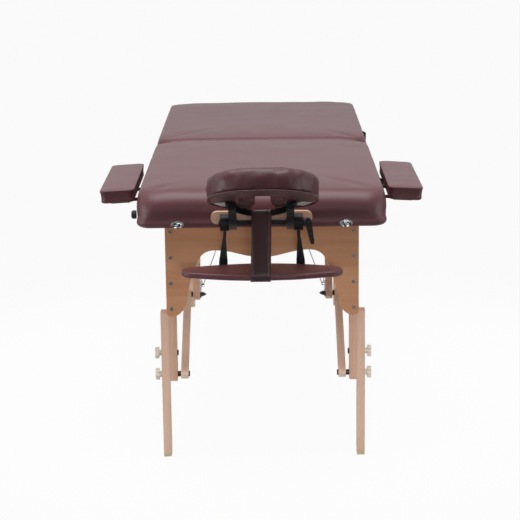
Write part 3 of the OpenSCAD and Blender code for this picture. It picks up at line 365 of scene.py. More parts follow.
# %% [markdown]
# ## Webbing
# Webbing is woven: fine ribs run across it and coarser cords run along it. Two sine waves on
# the piece's own place are enough at this scale, and they feed only the bump and a slight
# change of tone, because a black nylon strap has hardly any colour of its own.

# %% Webbing
def webbing(name, rib_axis, cross_axis):
    made = Finish(name, {"Specular IOR Level": 0.2})
    parts = made.parts(made.place())
    ribs = (parts[rib_axis] * 2600.0).sine()
    cords = (parts[cross_axis] * 1500.0).sine()
    weave = ribs * cords * 0.5 + 0.5
    fuzz = made.speckle(made.place(), 500.0, 2.0)
    made.surface(base_color=made.mix(weave * 0.6 + 0.3 * fuzz, (0.004, 0.004, 0.004, 1.0),
                                     (0.018, 0.018, 0.019, 1.0)),
                 roughness=0.62 + 0.2 * fuzz, normal=made.bump(weave, 0.0004, 0.7))
    return made.material


strap_webbing = webbing("webbing_strap", 2, 0)
handle_webbing = webbing("webbing_handle", 1, 2)
print("webbing finishes made")

# %% [markdown]
# ## Finishes on the CAD parts
# A CAD part whose shape is right keeps its mesh and gets a better material. The stays lean, so
# their grain leans with them, one way at the head end and the other way at the foot end. Where
# one CAD part holds two materials, its finish changes with place: the knee's eye plate is steel
# above a black bolt, and the end panel's screws are steel while the leg bolts are black.

# %% Put finishes on CAD parts
def wear(name, material):
    part = nodes[name]
    if not part.material_slots:
        part.data.materials.append(material)
    for slot in part.material_slots:
        slot.material = material


bolt_heads_from = 0.2384
for end, way in (("head", 1), ("foot", -1)):
    for part in ("deck", "frame_rails", "stringers"):
        wear(f"{end}_{part}", rail_wood)
    wear(f"{end}_end_panel", panel_wood)
    wear(f"{end}_legs", leg_wood)
    brace_grain = (0, way * math.cos(knee_up), math.sin(knee_up))
    # painted light: the braces' beech is a paler copy of the beech that stands in for the strong
    # light falling on them
    wear(f"{end}_braces", wood(f"beech_brace_painted_light_{end}", brace_grain, colour(250, 221, 199),
                               colour(236, 199, 174), head_outside=bolt_heads_from))
    strut_grain = (0, way * math.cos(strut_up), math.sin(strut_up))
    wear(f"{end}_struts", wood(f"beech_strut_{end}", strut_grain, beech_pale, beech_deep))
    for part in ("leg_brackets", "hinge_leaves"):
        wear(f"{end}_{part}", bright_steel)
    for side in ("left", "right"):
        wear(f"{end}_{side}_extension", extension_wood)
        for place in ("upper", "lower"):
            wear(f"{end}_{side}_{place}_knob", cream_knob)
for name in ("catch_plates", "cradle_posts"):
    wear(name, bright_steel)
for name in ("cradle_yoke", "cradle_platform", "cradle_lever", "bushes"):
    wear(name, black_nylon)
for name in ("tilt_bolts", "left_pad_rods", "right_pad_rods"):
    wear(name, black_metal)
wear("side_bumper", black_rubber)
wear("cradle_crossbar", bar_wood)


def partly_steel(name, steel_at, steel, rough):
    """Steel where `steel_at` says so of a point's x, y and z, and black elsewhere."""
    made = Finish(name, {})
    at = made.place()
    is_steel = steel_at(made.parts(at))
    smears = made.speckle(at, 80.0, 3.0)
    made.surface(base_color=made.mix(is_steel, (0.02, 0.02, 0.022, 1.0), steel),
                 metallic=is_steel * 1.0, roughness=rough + 0.16 * smears,
                 normal=made.bump(smears, 0.00004, 0.4))
    return made.material


def latch_finish():
    """Chrome with painted shade round the pressed groove and painted dark reflections as bars,
    laid out from the middle of each latch plate.
    """
    made = Finish("chrome_painted_shade_and_reflections", {})
    at = made.place()
    parts = made.parts(at)
    plate_x, plate_z, plate_half_w, plate_half_h = 0.236, 0.698, 0.0175, 0.0118
    across = (abs(parts[0]) - plate_x) * (1 / plate_half_w)
    rise = (parts[2] - plate_z) * (1 / plate_half_h)
    out = across * across + rise * rise
    # painted shade: a dark ring along the pressed groove round the plate
    groove_shade = (1 - abs(out - 0.72) * 4.5).clamped()
    smears = made.speckle(at, 80.0, 3.0)
    # painted reflections: dark bars across the middle of the plate
    reflection_bars = ((across * 8.0 + rise * 2.2 + smears * 7.0).sine() * 2.2).clamped()
    dark = (groove_shade * 0.8 + reflection_bars * (out < 0.6) * 0.85).clamped()
    made.surface(base_color=made.mix(dark, (0.86, 0.87, 0.89, 1.0), (0.02, 0.02, 0.024, 1.0)),
                 metallic=1.0 - dark * 0.2, roughness=0.12 + 0.16 * smears,
                 normal=made.bump(dark * -1.0, 0.0006, 0.5))
    return made.material


latch_chrome = latch_finish()
for name in ("latch_plates", "left_latch_lever", "right_latch_lever"):
    wear(name, latch_chrome)
screws_from_end, eye_plate_from = 0.0500, 0.4215
table_middle, table_half = (head_y + foot_y) / 2, (foot_y - head_y) / 2
fasteners = partly_steel("panel_screws_and_leg_bolts",
                         lambda at: abs(at[1] - table_middle) > table_half - screws_from_end,
                         (0.26, 0.26, 0.27, 1.0), 0.20)
knees = partly_steel("knee_bolt_and_eye", lambda at: at[2] > eye_plate_from,
                     (0.7, 0.71, 0.73, 1.0), 0.28)
for end in ("head", "foot"):
    wear(f"{end}_leg_fasteners", fasteners)
    wear(f"{end}_knee_hardware", knees)
print(sum(1 for n in nodes.values() if n.material_slots), "CAD parts have a finish")

# %% [markdown]
# ## Building meshes from rings
# Upholstery is made of closed loops stacked one above the other: a rounded rectangle for a
# board, a squared oval for the pillow's roll. `skin` joins each loop to the next with quads and
# closes both ends. A tube or a strap is the same thing with small loops along a path.

# %% Mesh helpers
def mesh_piece(name, points, faces):
    mesh = bpy.data.meshes.new(name)
    mesh.from_pydata(points, [], faces)
    mesh.validate()
    piece = bpy.data.objects.new(name, mesh)
    scene.collection.objects.link(piece)
    return piece


def skin(name, rings, joined=False):
    """A mesh over a stack of rings of equal length, closed at both ends unless joined."""
    count = len(rings[0])
    points = [tuple(p) for ring in rings for p in ring]
    faces = []
    for i in range(len(rings) if joined else len(rings) - 1):
        a, b = i * count, ((i + 1) % len(rings)) * count
        for j in range(count):
            k = (j + 1) % count
            faces.append((a + j, a + k, b + k, b + j))
    if not joined:
        faces.append(tuple(range(count))[::-1])
        faces.append(tuple(range((len(rings) - 1) * count, len(rings) * count)))
    return mesh_piece(name, points, faces)


def coat(piece, material, crease=50):
    """Smooth shading, sharp edges by angle and a finish."""
    piece.data.shade_smooth()
    piece.data.set_sharp_from_angle(angle=math.radians(crease))
    piece.data.materials.append(material)


def dress(piece, body, material, crease=50):
    """A coat, and the body that the piece rides on."""
    coat(piece, material, crease)
    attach(piece, body)
    return piece


def tube(name, path, radius, closed=False, sides=10):
    """A round tube along points, its loops turned to follow the path."""
    points = [Vector(p) for p in path]
    rings = []
    side = None
    for i, p in enumerate(points):
        before = points[i - 1] if closed or i else p
        after = points[(i + 1) % len(points)] if closed or i < len(points) - 1 else p
        way = (after - before).normalized()
        if side is None:
            side = way.orthogonal().normalized()
        side = (side - way * side.dot(way)).normalized()
        up = way.cross(side)
        rings.append([p + side * radius * math.cos(t) + up * radius * math.sin(t)
                      for t in (2 * math.pi * k / sides for k in range(sides))])
    return skin(name, rings, closed)


def thinned(s):
    """Share of a ribbon's thickness at s, from -1 at one edge to 1 at the other."""
    return 0.25 + 0.75 * math.sqrt(max(0.0, 1 - max(0.0, (abs(s) - 0.97) / 0.03) ** 2))


def ribbon(name, path, across, width, thick, hem=0.0, steps=14):
    """A flat strap along points, lying across the given directions, with optional thick hems."""
    points = [Vector(p) for p in path]
    rings = []
    for i, p in enumerate(points):
        way = (points[min(i + 1, len(points) - 1)] - points[max(i - 1, 0)]).normalized()
        lie = Vector(across[i]).normalized()
        lie = (lie - way * lie.dot(way)).normalized()
        face = way.cross(lie)
        ring = []
        for k in range(steps + 1):
            s = -1 + 2 * k / steps
            rise = 1 + hem * max(0.0, 1 - abs(abs(s) - 0.86) / 0.1)
            ring.append(p + lie * s * width / 2 + face * thick / 2 * rise * thinned(s))
        for k in range(steps + 1):
            s = 1 - 2 * k / steps
            ring.append(p + lie * s * width / 2 - face * thick / 2 * thinned(s))
        rings.append(ring)
    return skin(name, rings)


def loop(x0, y0, x1, y1, corner, turn_steps=9, long_steps=26, short_steps=18):
    """A rounded rectangle as points, anticlockwise, with the same count whatever its size."""
    centres = [(x1 - corner, y1 - corner, 0), (x0 + corner, y1 - corner, 90),
               (x0 + corner, y0 + corner, 180), (x1 - corner, y0 + corner, 270)]
    ring = []
    for i, (cx, cy, start) in enumerate(centres):
        for k in range(turn_steps + 1):
            t = math.radians(start + 90 * k / turn_steps)
            ring.append((cx + corner * math.cos(t), cy + corner * math.sin(t)))
        nx, ny, nstart = centres[(i + 1) % 4]
        t = math.radians(nstart)
        there = (nx + corner * math.cos(t), ny + corner * math.sin(t))
        here = ring[-1]
        steps = short_steps if i % 2 == 0 else long_steps
        for k in range(1, steps):
            ring.append((here[0] + (there[0] - here[0]) * k / steps,
                         here[1] + (there[1] - here[1]) * k / steps))
    return ring


print("a test loop has", len(loop(0, 0, 1, 2, 0.1)), "points")

# %% [markdown]
# ## A cover under pressure
# A cover that is modelled by hand is too even. A short cloth simulation lets it settle: the
# fabric is a little larger than its form, the foam pushes from inside as a pressure, and the
# parts that are glued or stapled down stay where they are. No gravity acts, because foam holds
# the fabric. The way that each point may move is limited, so the piece stays in its own space.

# %% Cloth
frames = 20


def inflate(piece, held, slack, limit, push=4.0):
    """Lets a cover settle under pressure; `held` gives how firmly each point is fixed.

    The fabric is larger than its form by the share `slack`, and no point moves by more than
    `limit` metres."""
    group = piece.vertex_groups.new(name="held")
    for v in piece.data.vertices:
        firm = held(v.co)
        if firm > 0:
            group.add([v.index], min(1.0, firm), "REPLACE")
    cloth = piece.modifiers.new("cover", "CLOTH")
    cloth.point_cache.frame_start, cloth.point_cache.frame_end = 1, frames
    cloth.settings.quality, cloth.settings.mass = 5, 0.3
    cloth.settings.use_pressure, cloth.settings.uniform_pressure_force = True, push
    cloth.settings.effector_weights.gravity = 0
    cloth.settings.bending_stiffness = 0.8
    cloth.settings.vertex_group_mass, cloth.settings.shrink_min = group.name, -slack
    for frame_number in range(1, frames + 1):
        scene.frame_set(frame_number)
    settled = piece.evaluated_get(bpy.context.evaluated_depsgraph_get()).to_mesh()
    moves = [w.co - v.co for v, w in zip(piece.data.vertices, settled.vertices)]
    piece.modifiers.remove(cloth)
    scene.frame_set(1)
    for v, move in zip(piece.data.vertices, moves):
        if move.length > 1e-9:
            v.co += move.normalized() * limit * math.tanh(move.length / limit)
    print(piece.name, "settled by up to", round(max(m.length for m in moves) * 1000, 1), "mm")


print("cloth runs over", frames, "frames")

# %% [markdown]
# ## The two table cushions
# Each half of the table is a board on a frame, covered with foam and one sheet of vinyl that is
# pulled over the rounded edges and down over the frame's sides. The form is a stack of loops
# from the hollow underside, round the lower hem, up the drawn-in side and over the crowned top.
# The vinyl gathers in small pleats at the lower corners, so the loops are pushed in and out
# there, the top falls away a little towards its corners, and a slow unevenness runs over the
# whole skin. The cloth then settles over this, held fast from just above the lower hem.

# %% Table cushions
foam_edge = 0.056       # radius of the upper edge at the table's ends
side_edge = 0.016       # how far in the same edge starts along the sides
seam_edge = 0.030       # and along the seam
cushion_t = 0.110       # from the top of the crown to the lower hem
crown = 0.005
draw_in = 0.004
frame_depth = 0.0497    # from the top of the crown to the underside of the foam
hem_r = 0.014
side_cover, seam_cover = 0.0202, 0.0077     # cover and foam outside the frame
frame_corner = 0.0298   # radius of the frame's corners, seen from above


def cushion_rings(low, high, seam_high):
    """Rings of (x, y, depth) for one section between its lowest and highest corner."""
    x0, x1 = low.x, high.x
    y0, y1 = low.y, high.y
    rings = []

    def ring(side, end, seam, depth, corner):
        y_low, y_high = (end, seam) if seam_high else (seam, end)
        for_ring = loop(x0 + side, y0 + y_low, x1 - side, y1 - y_high, corner)
        rings.append([Vector((px, py, high.z - depth)) for px, py in for_ring])

    for share in (0.97, 0.6, 0.25):
        inset = side_cover + share * 0.32
        ring(inset, inset, inset, frame_depth, 0.012)
    ring(side_cover, side_cover, seam_cover, frame_depth, frame_corner)
    ring(side_cover, side_cover, seam_cover, cushion_t, frame_corner)
    for a in (90, 72, 54, 36, 18, 0):
        t = math.radians(a)
        hem = draw_in + hem_r * (1 - math.cos(t))
        hem_seam = draw_in + 0.003 * (1 - math.cos(t))
        depth = cushion_t - hem_r + hem_r * math.sin(t)
        ring(hem, hem, hem_seam, depth, 0.038 - 0.4 * hem)
    for k in range(1, 8):
        s = 1 - k / 8
        depth = crown + foam_edge + s * (cushion_t - hem_r - crown - foam_edge)
        inset = draw_in * (1 - (1 - s) ** 2)
        ring(inset, inset, inset, depth, 0.064 - 0.026 * s - 0.7 * inset)
    for k in range(0, 10):
        t = math.radians(10 * k)
        inset = foam_edge * (1 - math.cos(t))
        ring(inset * side_edge / foam_edge, inset, inset * seam_edge / foam_edge,
             crown + foam_edge * (1 - math.sin(t)), 0.064 - 0.25 * inset)
    reach = (x1 - x0) / 2
    for s in (0.04, 0.1, 0.18, 0.28, 0.4, 0.55, 0.7, 0.85, 0.985):
        inset = foam_edge + s * (reach - foam_edge)
        ring(side_edge + s * (reach - side_edge), inset, seam_edge + s * (reach - seam_edge),
             crown * (1 - s) ** 2, max(0.050 * (1 - s), 0.0015))
    return rings


def pleat(p, low, high, strength):
    """Folds of the vinyl round the lower part of the four corners, as a push outwards."""
    cx = min(p.x - low.x, high.x - p.x)
    cy = min(p.y - low.y, high.y - p.y)
    near = max(0.0, 1 - max(cx, cy) / 0.075)
    depth = (high.z - p.z) / cushion_t
    fade = max(0.0, min(1.0, (depth - 0.3) / 0.5)) * (1 if depth < 0.97 else 0)
    wave = math.sin((cx - cy) * 420) + 0.5 * math.sin((cx - cy) * 790 + 1.3)
    return strength * near * fade * wave


def over(distance, reach, zone):
    """How far a distance gets into the last `zone` metres of its reach."""
    return max(0.0, abs(distance) - reach + zone)


def cushion(name, node, body, seam_high):
    """One section's upholstery. The rings before the first free one lie on the frame."""
    first_free, edge_zone, corner_zone, corner_drop = 6, 0.05, 0.13, 0.012
    low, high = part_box(node)
    rings = cushion_rings(low, high, seam_high)
    centre = (low + high) / 2
    half_x, half_y = high.x - centre.x, high.y - centre.y
    for ring in rings[first_free:]:
        for p in ring:
            off = p - centre
            out = Vector((math.copysign(over(off.x, half_x, edge_zone), off.x),
                          math.copysign(over(off.y, half_y, edge_zone), off.y), 0))
            at_edge = out.length > 1e-5
            if at_edge:
                p += out.normalized() * pleat(p, low, high, 0.0011)
            p.z += 0.0006 * noise.noise(Vector((p.x * 9, p.y * 9, 3.7)))
            near = Vector((over(p.x - centre.x, half_x, corner_zone),
                           over(p.y - centre.y, half_y, corner_zone), 0)) / corner_zone
            p.z -= corner_drop * (near.x * near.y) ** 1.6 * max(0.0, 1 - (high.z - p.z) / 0.08)
            if at_edge and 0.012 < high.z - p.z < 0.1:
                p += out.normalized() * 0.0007 * noise.noise(p * 14)
    piece = skin(name, rings)
    inflate(piece, lambda p: (high.z - p.z - 0.085) / 0.01, 0.004, 0.003)
    dress(piece, body, vinyl_main, 60)
    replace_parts(piece, node)
    return piece


head_top = cushion("head_upholstery", "head_cushion", "head_section", True)
cushion("foot_upholstery", "foot_cushion", "foot_section", False)
print("each cushion has", len(head_top.data.polygons), "faces")

# %% [markdown]
# ## The face pillow
# The pillow is a horseshoe: one fat roll bent round the face hole, closed at the front and open
# towards the table. Its wall is nearly upright with a sharp sewn lower edge and a thin piping,
# and the vinyl creases where it is pulled round the bend. The roll is a squared oval carried
# along a squared-off arch, in the frame of the tilted platform. The cloth fills it out, and the
# creases are pressed into it last, along the ridges of a stretched noise.

# %% Face pillow
tilt = math.radians(21.5)
hub = Vector((0, head_y - 0.060, 0.720))    # the middle of the tilt axis
pillow_w, pillow_l, pillow_t, roll = 0.294, 0.272, 0.068, 0.086
arch_x, arch_y = (pillow_w - roll) / 2, (pillow_l - roll) / 2
arch_mid = 0.014 + pillow_l / 2
pillow_x, pillow_up = 0.005, 0.0333     # the pillow's middle, and its underside above the plane
arch_reach = 90 - math.degrees(math.asin((0.032 / 2 + roll / 12) / arch_x))


def tilted(x, forward, up):
    """A point of the platform: x across, forward from the tilt axis, up from its plane."""
    return Vector((x, hub.y - forward * math.cos(tilt) + up * math.sin(tilt),
                   hub.z + forward * math.sin(tilt) + up * math.cos(tilt)))


def squared(v, power):
    """A power of v that keeps its sign, which squares off a circle."""
    return math.copysign(abs(v) ** power, v)


def arch(angle):
    """The middle of the roll at an angle, across and forward."""
    t = math.radians(angle)
    return Vector((arch_x * squared(math.cos(t), 0.82),
                   arch_mid + arch_y * squared(math.sin(t), 0.82)))


def outward(angle):
    """The direction out of the arch at an angle."""
    d = arch(angle + 1) - arch(angle - 1)
    return Vector((d.y, -d.x)).normalized()


def pillow_point(angle, around, size):
    """A point of the pillow's skin, at an angle along the arch and one around the roll."""
    at, out = arch(angle), outward(angle)
    c, s = math.cos(around), math.sin(around)
    under = around > math.pi
    w = roll / 2 * size * squared(c, 0.3 if under else 0.55)
    up = pillow_t / 2 * (1 + size * squared(s, 0.25 if under else 0.6))
    if not under and size > 0.9:
        arc = math.radians(angle) * 120
        tuck = noise.noise(Vector((arc / 15.0, up * 22, 1.0)))
        broad = noise.noise(Vector((arc / 34.0 + up * 30, up * 26 - arc / 60, 5.0)))
        wall = max(0.0, c) * (1 - 0.4 * s)
        w += wall * (0.0016 * tuck * (1 - s) + 0.0042 * broad)
        up += 0.0006 * noise.noise(Vector((arc / 16.0, w * 30, 9.0)))
    p = at + out * w
    return tilted(pillow_x + p.x, p.y, pillow_up + up)


def pillow():
    rings = []
    first, last, count, around = -arch_reach, 180 + arch_reach, 150, 44
    for angle, size in ([(first - 3, 0.5), (first - 2.6, 0.72), (first - 1.8, 0.9)]
                        + [(first + (last - first) * i / count, 1.0) for i in range(count + 1)]
                        + [(last + 1.8, 0.9), (last + 2.6, 0.72), (last + 3, 0.5)]):
        rings.append([pillow_point(angle, 2 * math.pi * k / around, size) for k in range(around)])
    piece = skin("face_pillow", rings)
    under = tilted(0, 0, pillow_up + 0.004)
    lean = Vector((0, math.sin(tilt), math.cos(tilt)))
    inflate(piece, lambda p: 1 - (p - under).dot(lean) / 0.003, 0.03, 0.005)
    normals = [v.normal.copy() for v in piece.data.vertices]
    for v, normal in zip(piece.data.vertices, normals):
        up = (v.co - under).dot(lean)
        across = math.atan2(v.co.x - pillow_x, -(v.co.y - hub.y) - 0.14) * 0.11
        pulled = Vector((across * 8 + up * 14, up * 24 - across * 7, 4.1))
        ridge = max(0.0, 1 - abs(noise.noise(pulled)) * 7) ** 1.5
        small = Vector((across * 24 - up * 20, up * 40 + across * 10, 8.3))
        fine = max(0.0, 1 - abs(noise.noise(small)) * 6)
        where = max(0.0, min(1.0, up / 0.012, (0.75 * pillow_t - up) / 0.02))
        v.co -= normal * where * (0.0024 * ridge + 0.0007 * fine ** 1.5)
    dress(piece, "cradle_platform", vinyl_pillow, 75)
    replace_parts(piece, "cradle_pillow")
    return piece


face_pillow = pillow()
seam_path = []
seam_steps = 120
for i in range(seam_steps + 1):
    angle = -arch_reach + (180 + 2 * arch_reach) * i / seam_steps
    p = arch(angle) + outward(angle) * (roll / 2 + 0.0004)
    seam_path.append(tilted(pillow_x + p.x, p.y, pillow_up + 0.0020))
pillow_seam = tube("pillow_piping", seam_path, 0.0022)
dress(pillow_seam, "cradle_platform", vinyl_pillow)
print("pillow faces:", len(face_pillow.data.polygons),
      "arch reaches", round(arch_reach, 1), "degrees")

# %% [markdown]
# ## The pillow's hook-and-loop patches
# Two pale patches under the pillow hold it on the platform. Their fuzz is a fine noise in the
# bump, and they are thin plates that lie against the underside.

# %% Patches
def fleece(name):
    made = Finish(name, {"Sheen Weight": 0.3})
    fuzz = made.speckle(made.place(), 900.0, 4.0, 0.7)
    made.surface(base_color=made.mix(fuzz, colour(196, 190, 180), colour(232, 228, 220)),
                 roughness=0.85 + 0.1 * fuzz, normal=made.bump(fuzz, 0.0006, 0.8))
    return made.material


patch_fleece = fleece("patch_loops")
for side, angle in (("left", 204), ("right", -24)):
    mid, out = arch(angle), outward(angle)
    along = Vector((-out.y, out.x))
    rings = []
    for up in (0.0325, 0.0331):
        ring = []
        for k in range(24):
            t = 2 * math.pi * k / 24
            p = (mid + out * (0.012 + 0.016 * squared(math.cos(t), 0.3))
                 + along * 0.026 * squared(math.sin(t), 0.3))
            ring.append(tilted(pillow_x + p.x, p.y, up))
        rings.append(ring)
    dress(skin(f"patch_{side}", rings), "cradle_platform", patch_fleece)
print("two patches under the pillow")

# %% [markdown]
# ## Teeth of the cradle's ring
# The black ring under the pillow has a row of small teeth along its lower inner edge. They are
# small wedges, set round the half of the ring that is nearest to the table.

# %% Ring teeth
ring_dip_r, ring_dip_n, ring_in_r, ring_centre_v = 0.320, 0.025, 0.085, 0.125
ring_thick, ring_back = 0.013, 0.097
tooth_count = 34
tooth_faces = ((0, 1, 3, 2), (2, 3, 5, 4), (4, 5, 7, 6), (6, 7, 1, 0), (0, 2, 4, 6), (1, 7, 5, 3))


def ring_under(x):
    """Height of the ring's lower edge, which dips towards the middle of its arc."""
    return ring_dip_n + ring_dip_r - math.sqrt((ring_dip_r + ring_thick) ** 2 - x * x)


def teeth():
    points, faces = [], []
    near, far = ring_in_r + 0.0008, ring_in_r + 0.0080
    for i in range(tooth_count):
        a = math.radians(-142 + 104 * i / (tooth_count - 1))
        for r, drop, w in ((near, -0.0006, 0.0016), (near, 0.0026, 0.0009),
                           (far, 0.0026, 0.0009), (far, -0.0006, 0.0016)):
            for side in (-1, 1):
                t = a + side * w / r
                x = r * math.cos(t)
                points.append(tilted(x, ring_centre_v + r * math.sin(t), ring_under(x) - drop))
        b = i * 8
        faces += [tuple(b + k for k in face) for face in tooth_faces]
    piece = mesh_piece("ring_teeth", [tuple(p) for p in points], faces)
    return dress(piece, "cradle_platform", black_nylon, 30)


ring_teeth = teeth()
print("teeth faces:", len(ring_teeth.data.polygons))

# %% [markdown]
# ## The arm shelf
# The shelf that hangs below the cradle is a thin upholstered board, widest in the middle and
# drawn to rounded tips. Loops of that outline, drawn in step by step, make its rounded edge and
# its slightly swollen top.

# %% Arm shelf
shelf_low, shelf_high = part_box("arm_shelf")
shelf_half = (shelf_high.y - shelf_low.y) / 2
shelf_mid = (shelf_high.y + shelf_low.y) / 2
shelf_w = shelf_high.x - shelf_low.x
shelf_t = shelf_high.z - shelf_low.z
taper = 0.46
tip_r = shelf_half * (1 - taper)
shelf_arm = shelf_w / 2 - tip_r


def half_depth(x):
    """Half of the shelf's depth at a distance from its middle."""
    return shelf_half * (1 - taper * (x / shelf_arm) ** 2)


def shelf_loop(inset, z):
    """The shelf's outline at one height, drawn in by `inset`: each long edge, then a tip."""
    steps = 16
    ring = []
    for way, start in ((1, 90), (-1, 270)):
        for i in range(2 * steps + 1):
            x = shelf_arm * (1 - i / steps)
            ring.append((way * x, shelf_mid + way * (half_depth(x) - inset), z))
        for i in range(1, steps):
            a = math.radians(start + 180 * i / steps)
            ring.append(((tip_r - inset) * math.cos(a) - way * shelf_arm,
                         shelf_mid + (tip_r - inset) * math.sin(a), z))
    return ring


def shelf():
    edge, full_swell = 0.35 * shelf_t, 0.08 * shelf_t
    rings = [shelf_loop(s * tip_r, shelf_low.z) for s in (0.97, 0.7, 0.4)]
    turns = [math.radians(a) for a in (0, 15, 30, 45, 60, 75, 90)]
    rings += [shelf_loop(edge * (1 - math.sin(t)), shelf_low.z + edge * (1 - math.cos(t)))
              for t in turns]
    rings += [shelf_loop(edge * (1 - math.cos(t)),
                         shelf_high.z - full_swell - edge + edge * math.sin(t)) for t in turns]
    for s in (0.3, 0.42, 0.56, 0.72, 0.88, 0.97):
        swell = full_swell * (1 - ((1 - s) / 0.8) ** 2)
        rings.append(shelf_loop(s * tip_r, shelf_high.z - full_swell + swell))
    piece = skin("shelf_upholstery", rings)
    for v in piece.data.vertices:
        v.co.z += 0.0004 * noise.noise(v.co * 22)
    dress(piece, "cradle_base", vinyl_main, 60)
    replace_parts(piece, "arm_shelf")
    return piece


shelf()
print("shelf", round(shelf_w, 3), "wide and", round(2 * shelf_half, 3), "deep")

# %% [markdown]
# ## The straps of the shelf
# A broad vinyl strap with thick hems hangs from the ring and wraps under the shelf's front
# edge. The ring tilts and the shelf does not; the strap is one fixed shape between them and
# rides on neither. Two black webbing straps go round the necks of the yoke, turn on the way
# down and wrap under the rear edge. A ribbon along a path, with the direction across it given
# point by point, makes both.

# %% Shelf straps
strap_gap = 0.0014       # from the shelf to the middle of a strap's thickness
strap_x = -0.001


def front_band():
    """The vinyl strap: up over the ring, down its front side and under the shelf."""
    half = 0.0275
    wall = ring_centre_v - math.sqrt(ring_in_r ** 2 - half ** 2) + 0.0013
    behind = ring_centre_v - ring_back - 0.0015
    top = ring_dip_n + 0.0022
    loop_over = [tilted(0, v, n) for v, n in (
        (behind, ring_dip_n - 0.011), (behind, ring_dip_n - 0.002),
        (behind + 0.002, top - 0.0006), (behind + 0.006, top + 0.0004),
        (wall - 0.006, top + 0.0004), (wall - 0.0015, top - 0.0008),
        (wall, ring_dip_n - 0.0025), (wall, ring_dip_n - 0.0065))]
    front = shelf_low.y - strap_gap
    low = [Vector((strap_x, y, z)) for y, z in (
        (front, shelf_high.z - 0.001), (front, shelf_low.z + 0.003),
        (shelf_low.y + 0.003, shelf_low.z - strap_gap),
        (shelf_low.y + 0.037, shelf_low.z - strap_gap))]
    straight = [loop_over[-1].lerp(low[0], k / 20) for k in range(1, 20)]
    path = loop_over + straight + low
    across = [(1, 0, 0)] * len(path)
    piece = ribbon("shelf_front_strap", path, across, 2 * half, 0.0020, 0.5, 40)
    for v in piece.data.vertices:
        sway = max(0.0, min(1.0, (v.co.z - shelf_high.z) / 0.05, (hub.z - v.co.z) / 0.02 + 0.3))
        v.co.y -= 0.0014 * sway * math.cos(v.co.x * 60) ** 2
        v.co.x -= 0.0035 * max(0.0, min(1.0, (hub.z - v.co.z) / 0.2))
    coat(piece, vinyl_strap, 60)
    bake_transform(piece)
    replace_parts(piece, "front_strap")
    return piece


def rear_band(name, side):
    """A strap that faces sideways at the yoke's neck and has turned to the front lower down."""
    x, splay = side * 0.1015, side * 0.0065
    neck = hub.z - 0.31 * 0.046
    edge = shelf_mid + half_depth(0.0895)
    corners = [Vector((x, hub.y + 0.0253, neck - 0.0016)),
               Vector((x, hub.y + 0.0340, neck - 0.0018))]
    corners += [Vector((x + splay, y, z)) for y, z in (
        (edge + 0.0016, shelf_high.z + 0.002), (edge + 0.0016, shelf_low.z + 0.003),
        (edge - 0.003, shelf_low.z - strap_gap), (edge - 0.037, shelf_low.z - strap_gap))]
    straight = [corners[1].lerp(corners[2], k / 24) for k in range(1, 24)]
    path = corners[:2] + straight + corners[2:]
    lie = []
    for i in range(len(path)):
        shown = 0.36 + 0.64 * max(0.0, min(1.0, (i - 9) / 15))
        a = math.acos(min(1.0, shown))
        lie.append((math.cos(a), side * math.sin(a), 0))
    piece = ribbon(name, path, lie, 0.0240, 0.0018, 0.0, 12)
    dress(piece, "cradle_base", strap_webbing, 60)
    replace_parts(piece, "rear_straps")
    return piece


straps = [front_band(), rear_band("shelf_rear_strap_left", -1),
          rear_band("shelf_rear_strap_right", 1)]
print("straps:", *[strap.name for strap in straps])

# %% [markdown]
# ## The arm pads
# Each pad is a small board with foam and a vinyl cover sewn from a top and a side band, so its
# upper edge is a crisp seam. It droops a few degrees from the table. The pad is a stack of
# loops, and a thin tube round its upper edge is the seam's piping.

# %% Arm pads
droop = math.radians(3)
pad_x0, pad_w, pad_l, pad_t = 0.3595, 0.098, 0.430, 0.040
pad_y0 = head_y + 0.090
pad_top = 0.790
pad_low_r, pad_edge_r = 0.005, 0.0055


def drooped(side, x, y, z):
    """A point of the right pad before its droop, turned down and put on either side."""
    dx, dz = x - pad_x0, z - (pad_top - pad_t)
    return Vector((side * (pad_x0 + dx * math.cos(droop) + dz * math.sin(droop)), y,
                   pad_top - pad_t - dx * math.sin(droop) + dz * math.cos(droop)))


def pad(side, name, node, body):
    rings = []

    def ring(inset, depth, corner):
        flat = loop(pad_x0 + inset, pad_y0 + inset, pad_x0 + pad_w - inset, pad_y0 + pad_l - inset,
                    corner, 7, 22, 8)
        flat = flat if side > 0 else flat[::-1]
        rings.append([drooped(side, x, y, pad_top - depth) for x, y in flat])

    for inset in (0.047, 0.03, 0.012):
        ring(inset, pad_t, max(0.0015, 0.016 - inset))
    for a in (90, 60, 30, 0):
        t = math.radians(a)
        ring(0.002 + pad_low_r * (1 - math.cos(t)), pad_t - pad_low_r * (1 - math.sin(t)), 0.015)
    for depth, inset in ((0.030, 0.0022), (0.024, 0.0024), (0.018, 0.0020), (0.013, 0.0012),
                         (0.009, 0.0005)):
        ring(inset, depth, 0.016)
    for a in (0, 20, 40, 60, 80):
        t = math.radians(a)
        ring(pad_edge_r * (1 - math.cos(t)), 0.0020 + pad_edge_r * (1 - math.sin(t)), 0.015)
    for inset, depth in ((0.012, 0.0014), (0.02, 0.0008), (0.032, 0.0003), (0.0475, 0.0)):
        ring(inset, depth, max(0.0012, 0.014 - 0.3 * inset))
    piece = skin(name, rings)
    for v in piece.data.vertices:
        v.co += Vector((0, 0, 0.0006)) * noise.noise(v.co * 24)
    dress(piece, body, vinyl_main, 55)
    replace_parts(piece, node)
    inner = 0.0012
    seam = loop(pad_x0 + inner, pad_y0 + inner, pad_x0 + pad_w - inner, pad_y0 + pad_l - inner,
                0.0145, 7, 22, 8)
    piping = tube(name + "_piping", [drooped(side, x, y, pad_top - 0.0046) for x, y in seam],
                  0.0014, True, 8)
    dress(piping, body, vinyl_main)
    return piece


left_pad = pad(-1, "left_pad_upholstery", "left_arm_pad", "left_pad_body")
right_pad = pad(1, "right_pad_upholstery", "right_arm_pad", "right_pad_body")
print("arm pads:", left_pad.name, right_pad.name)
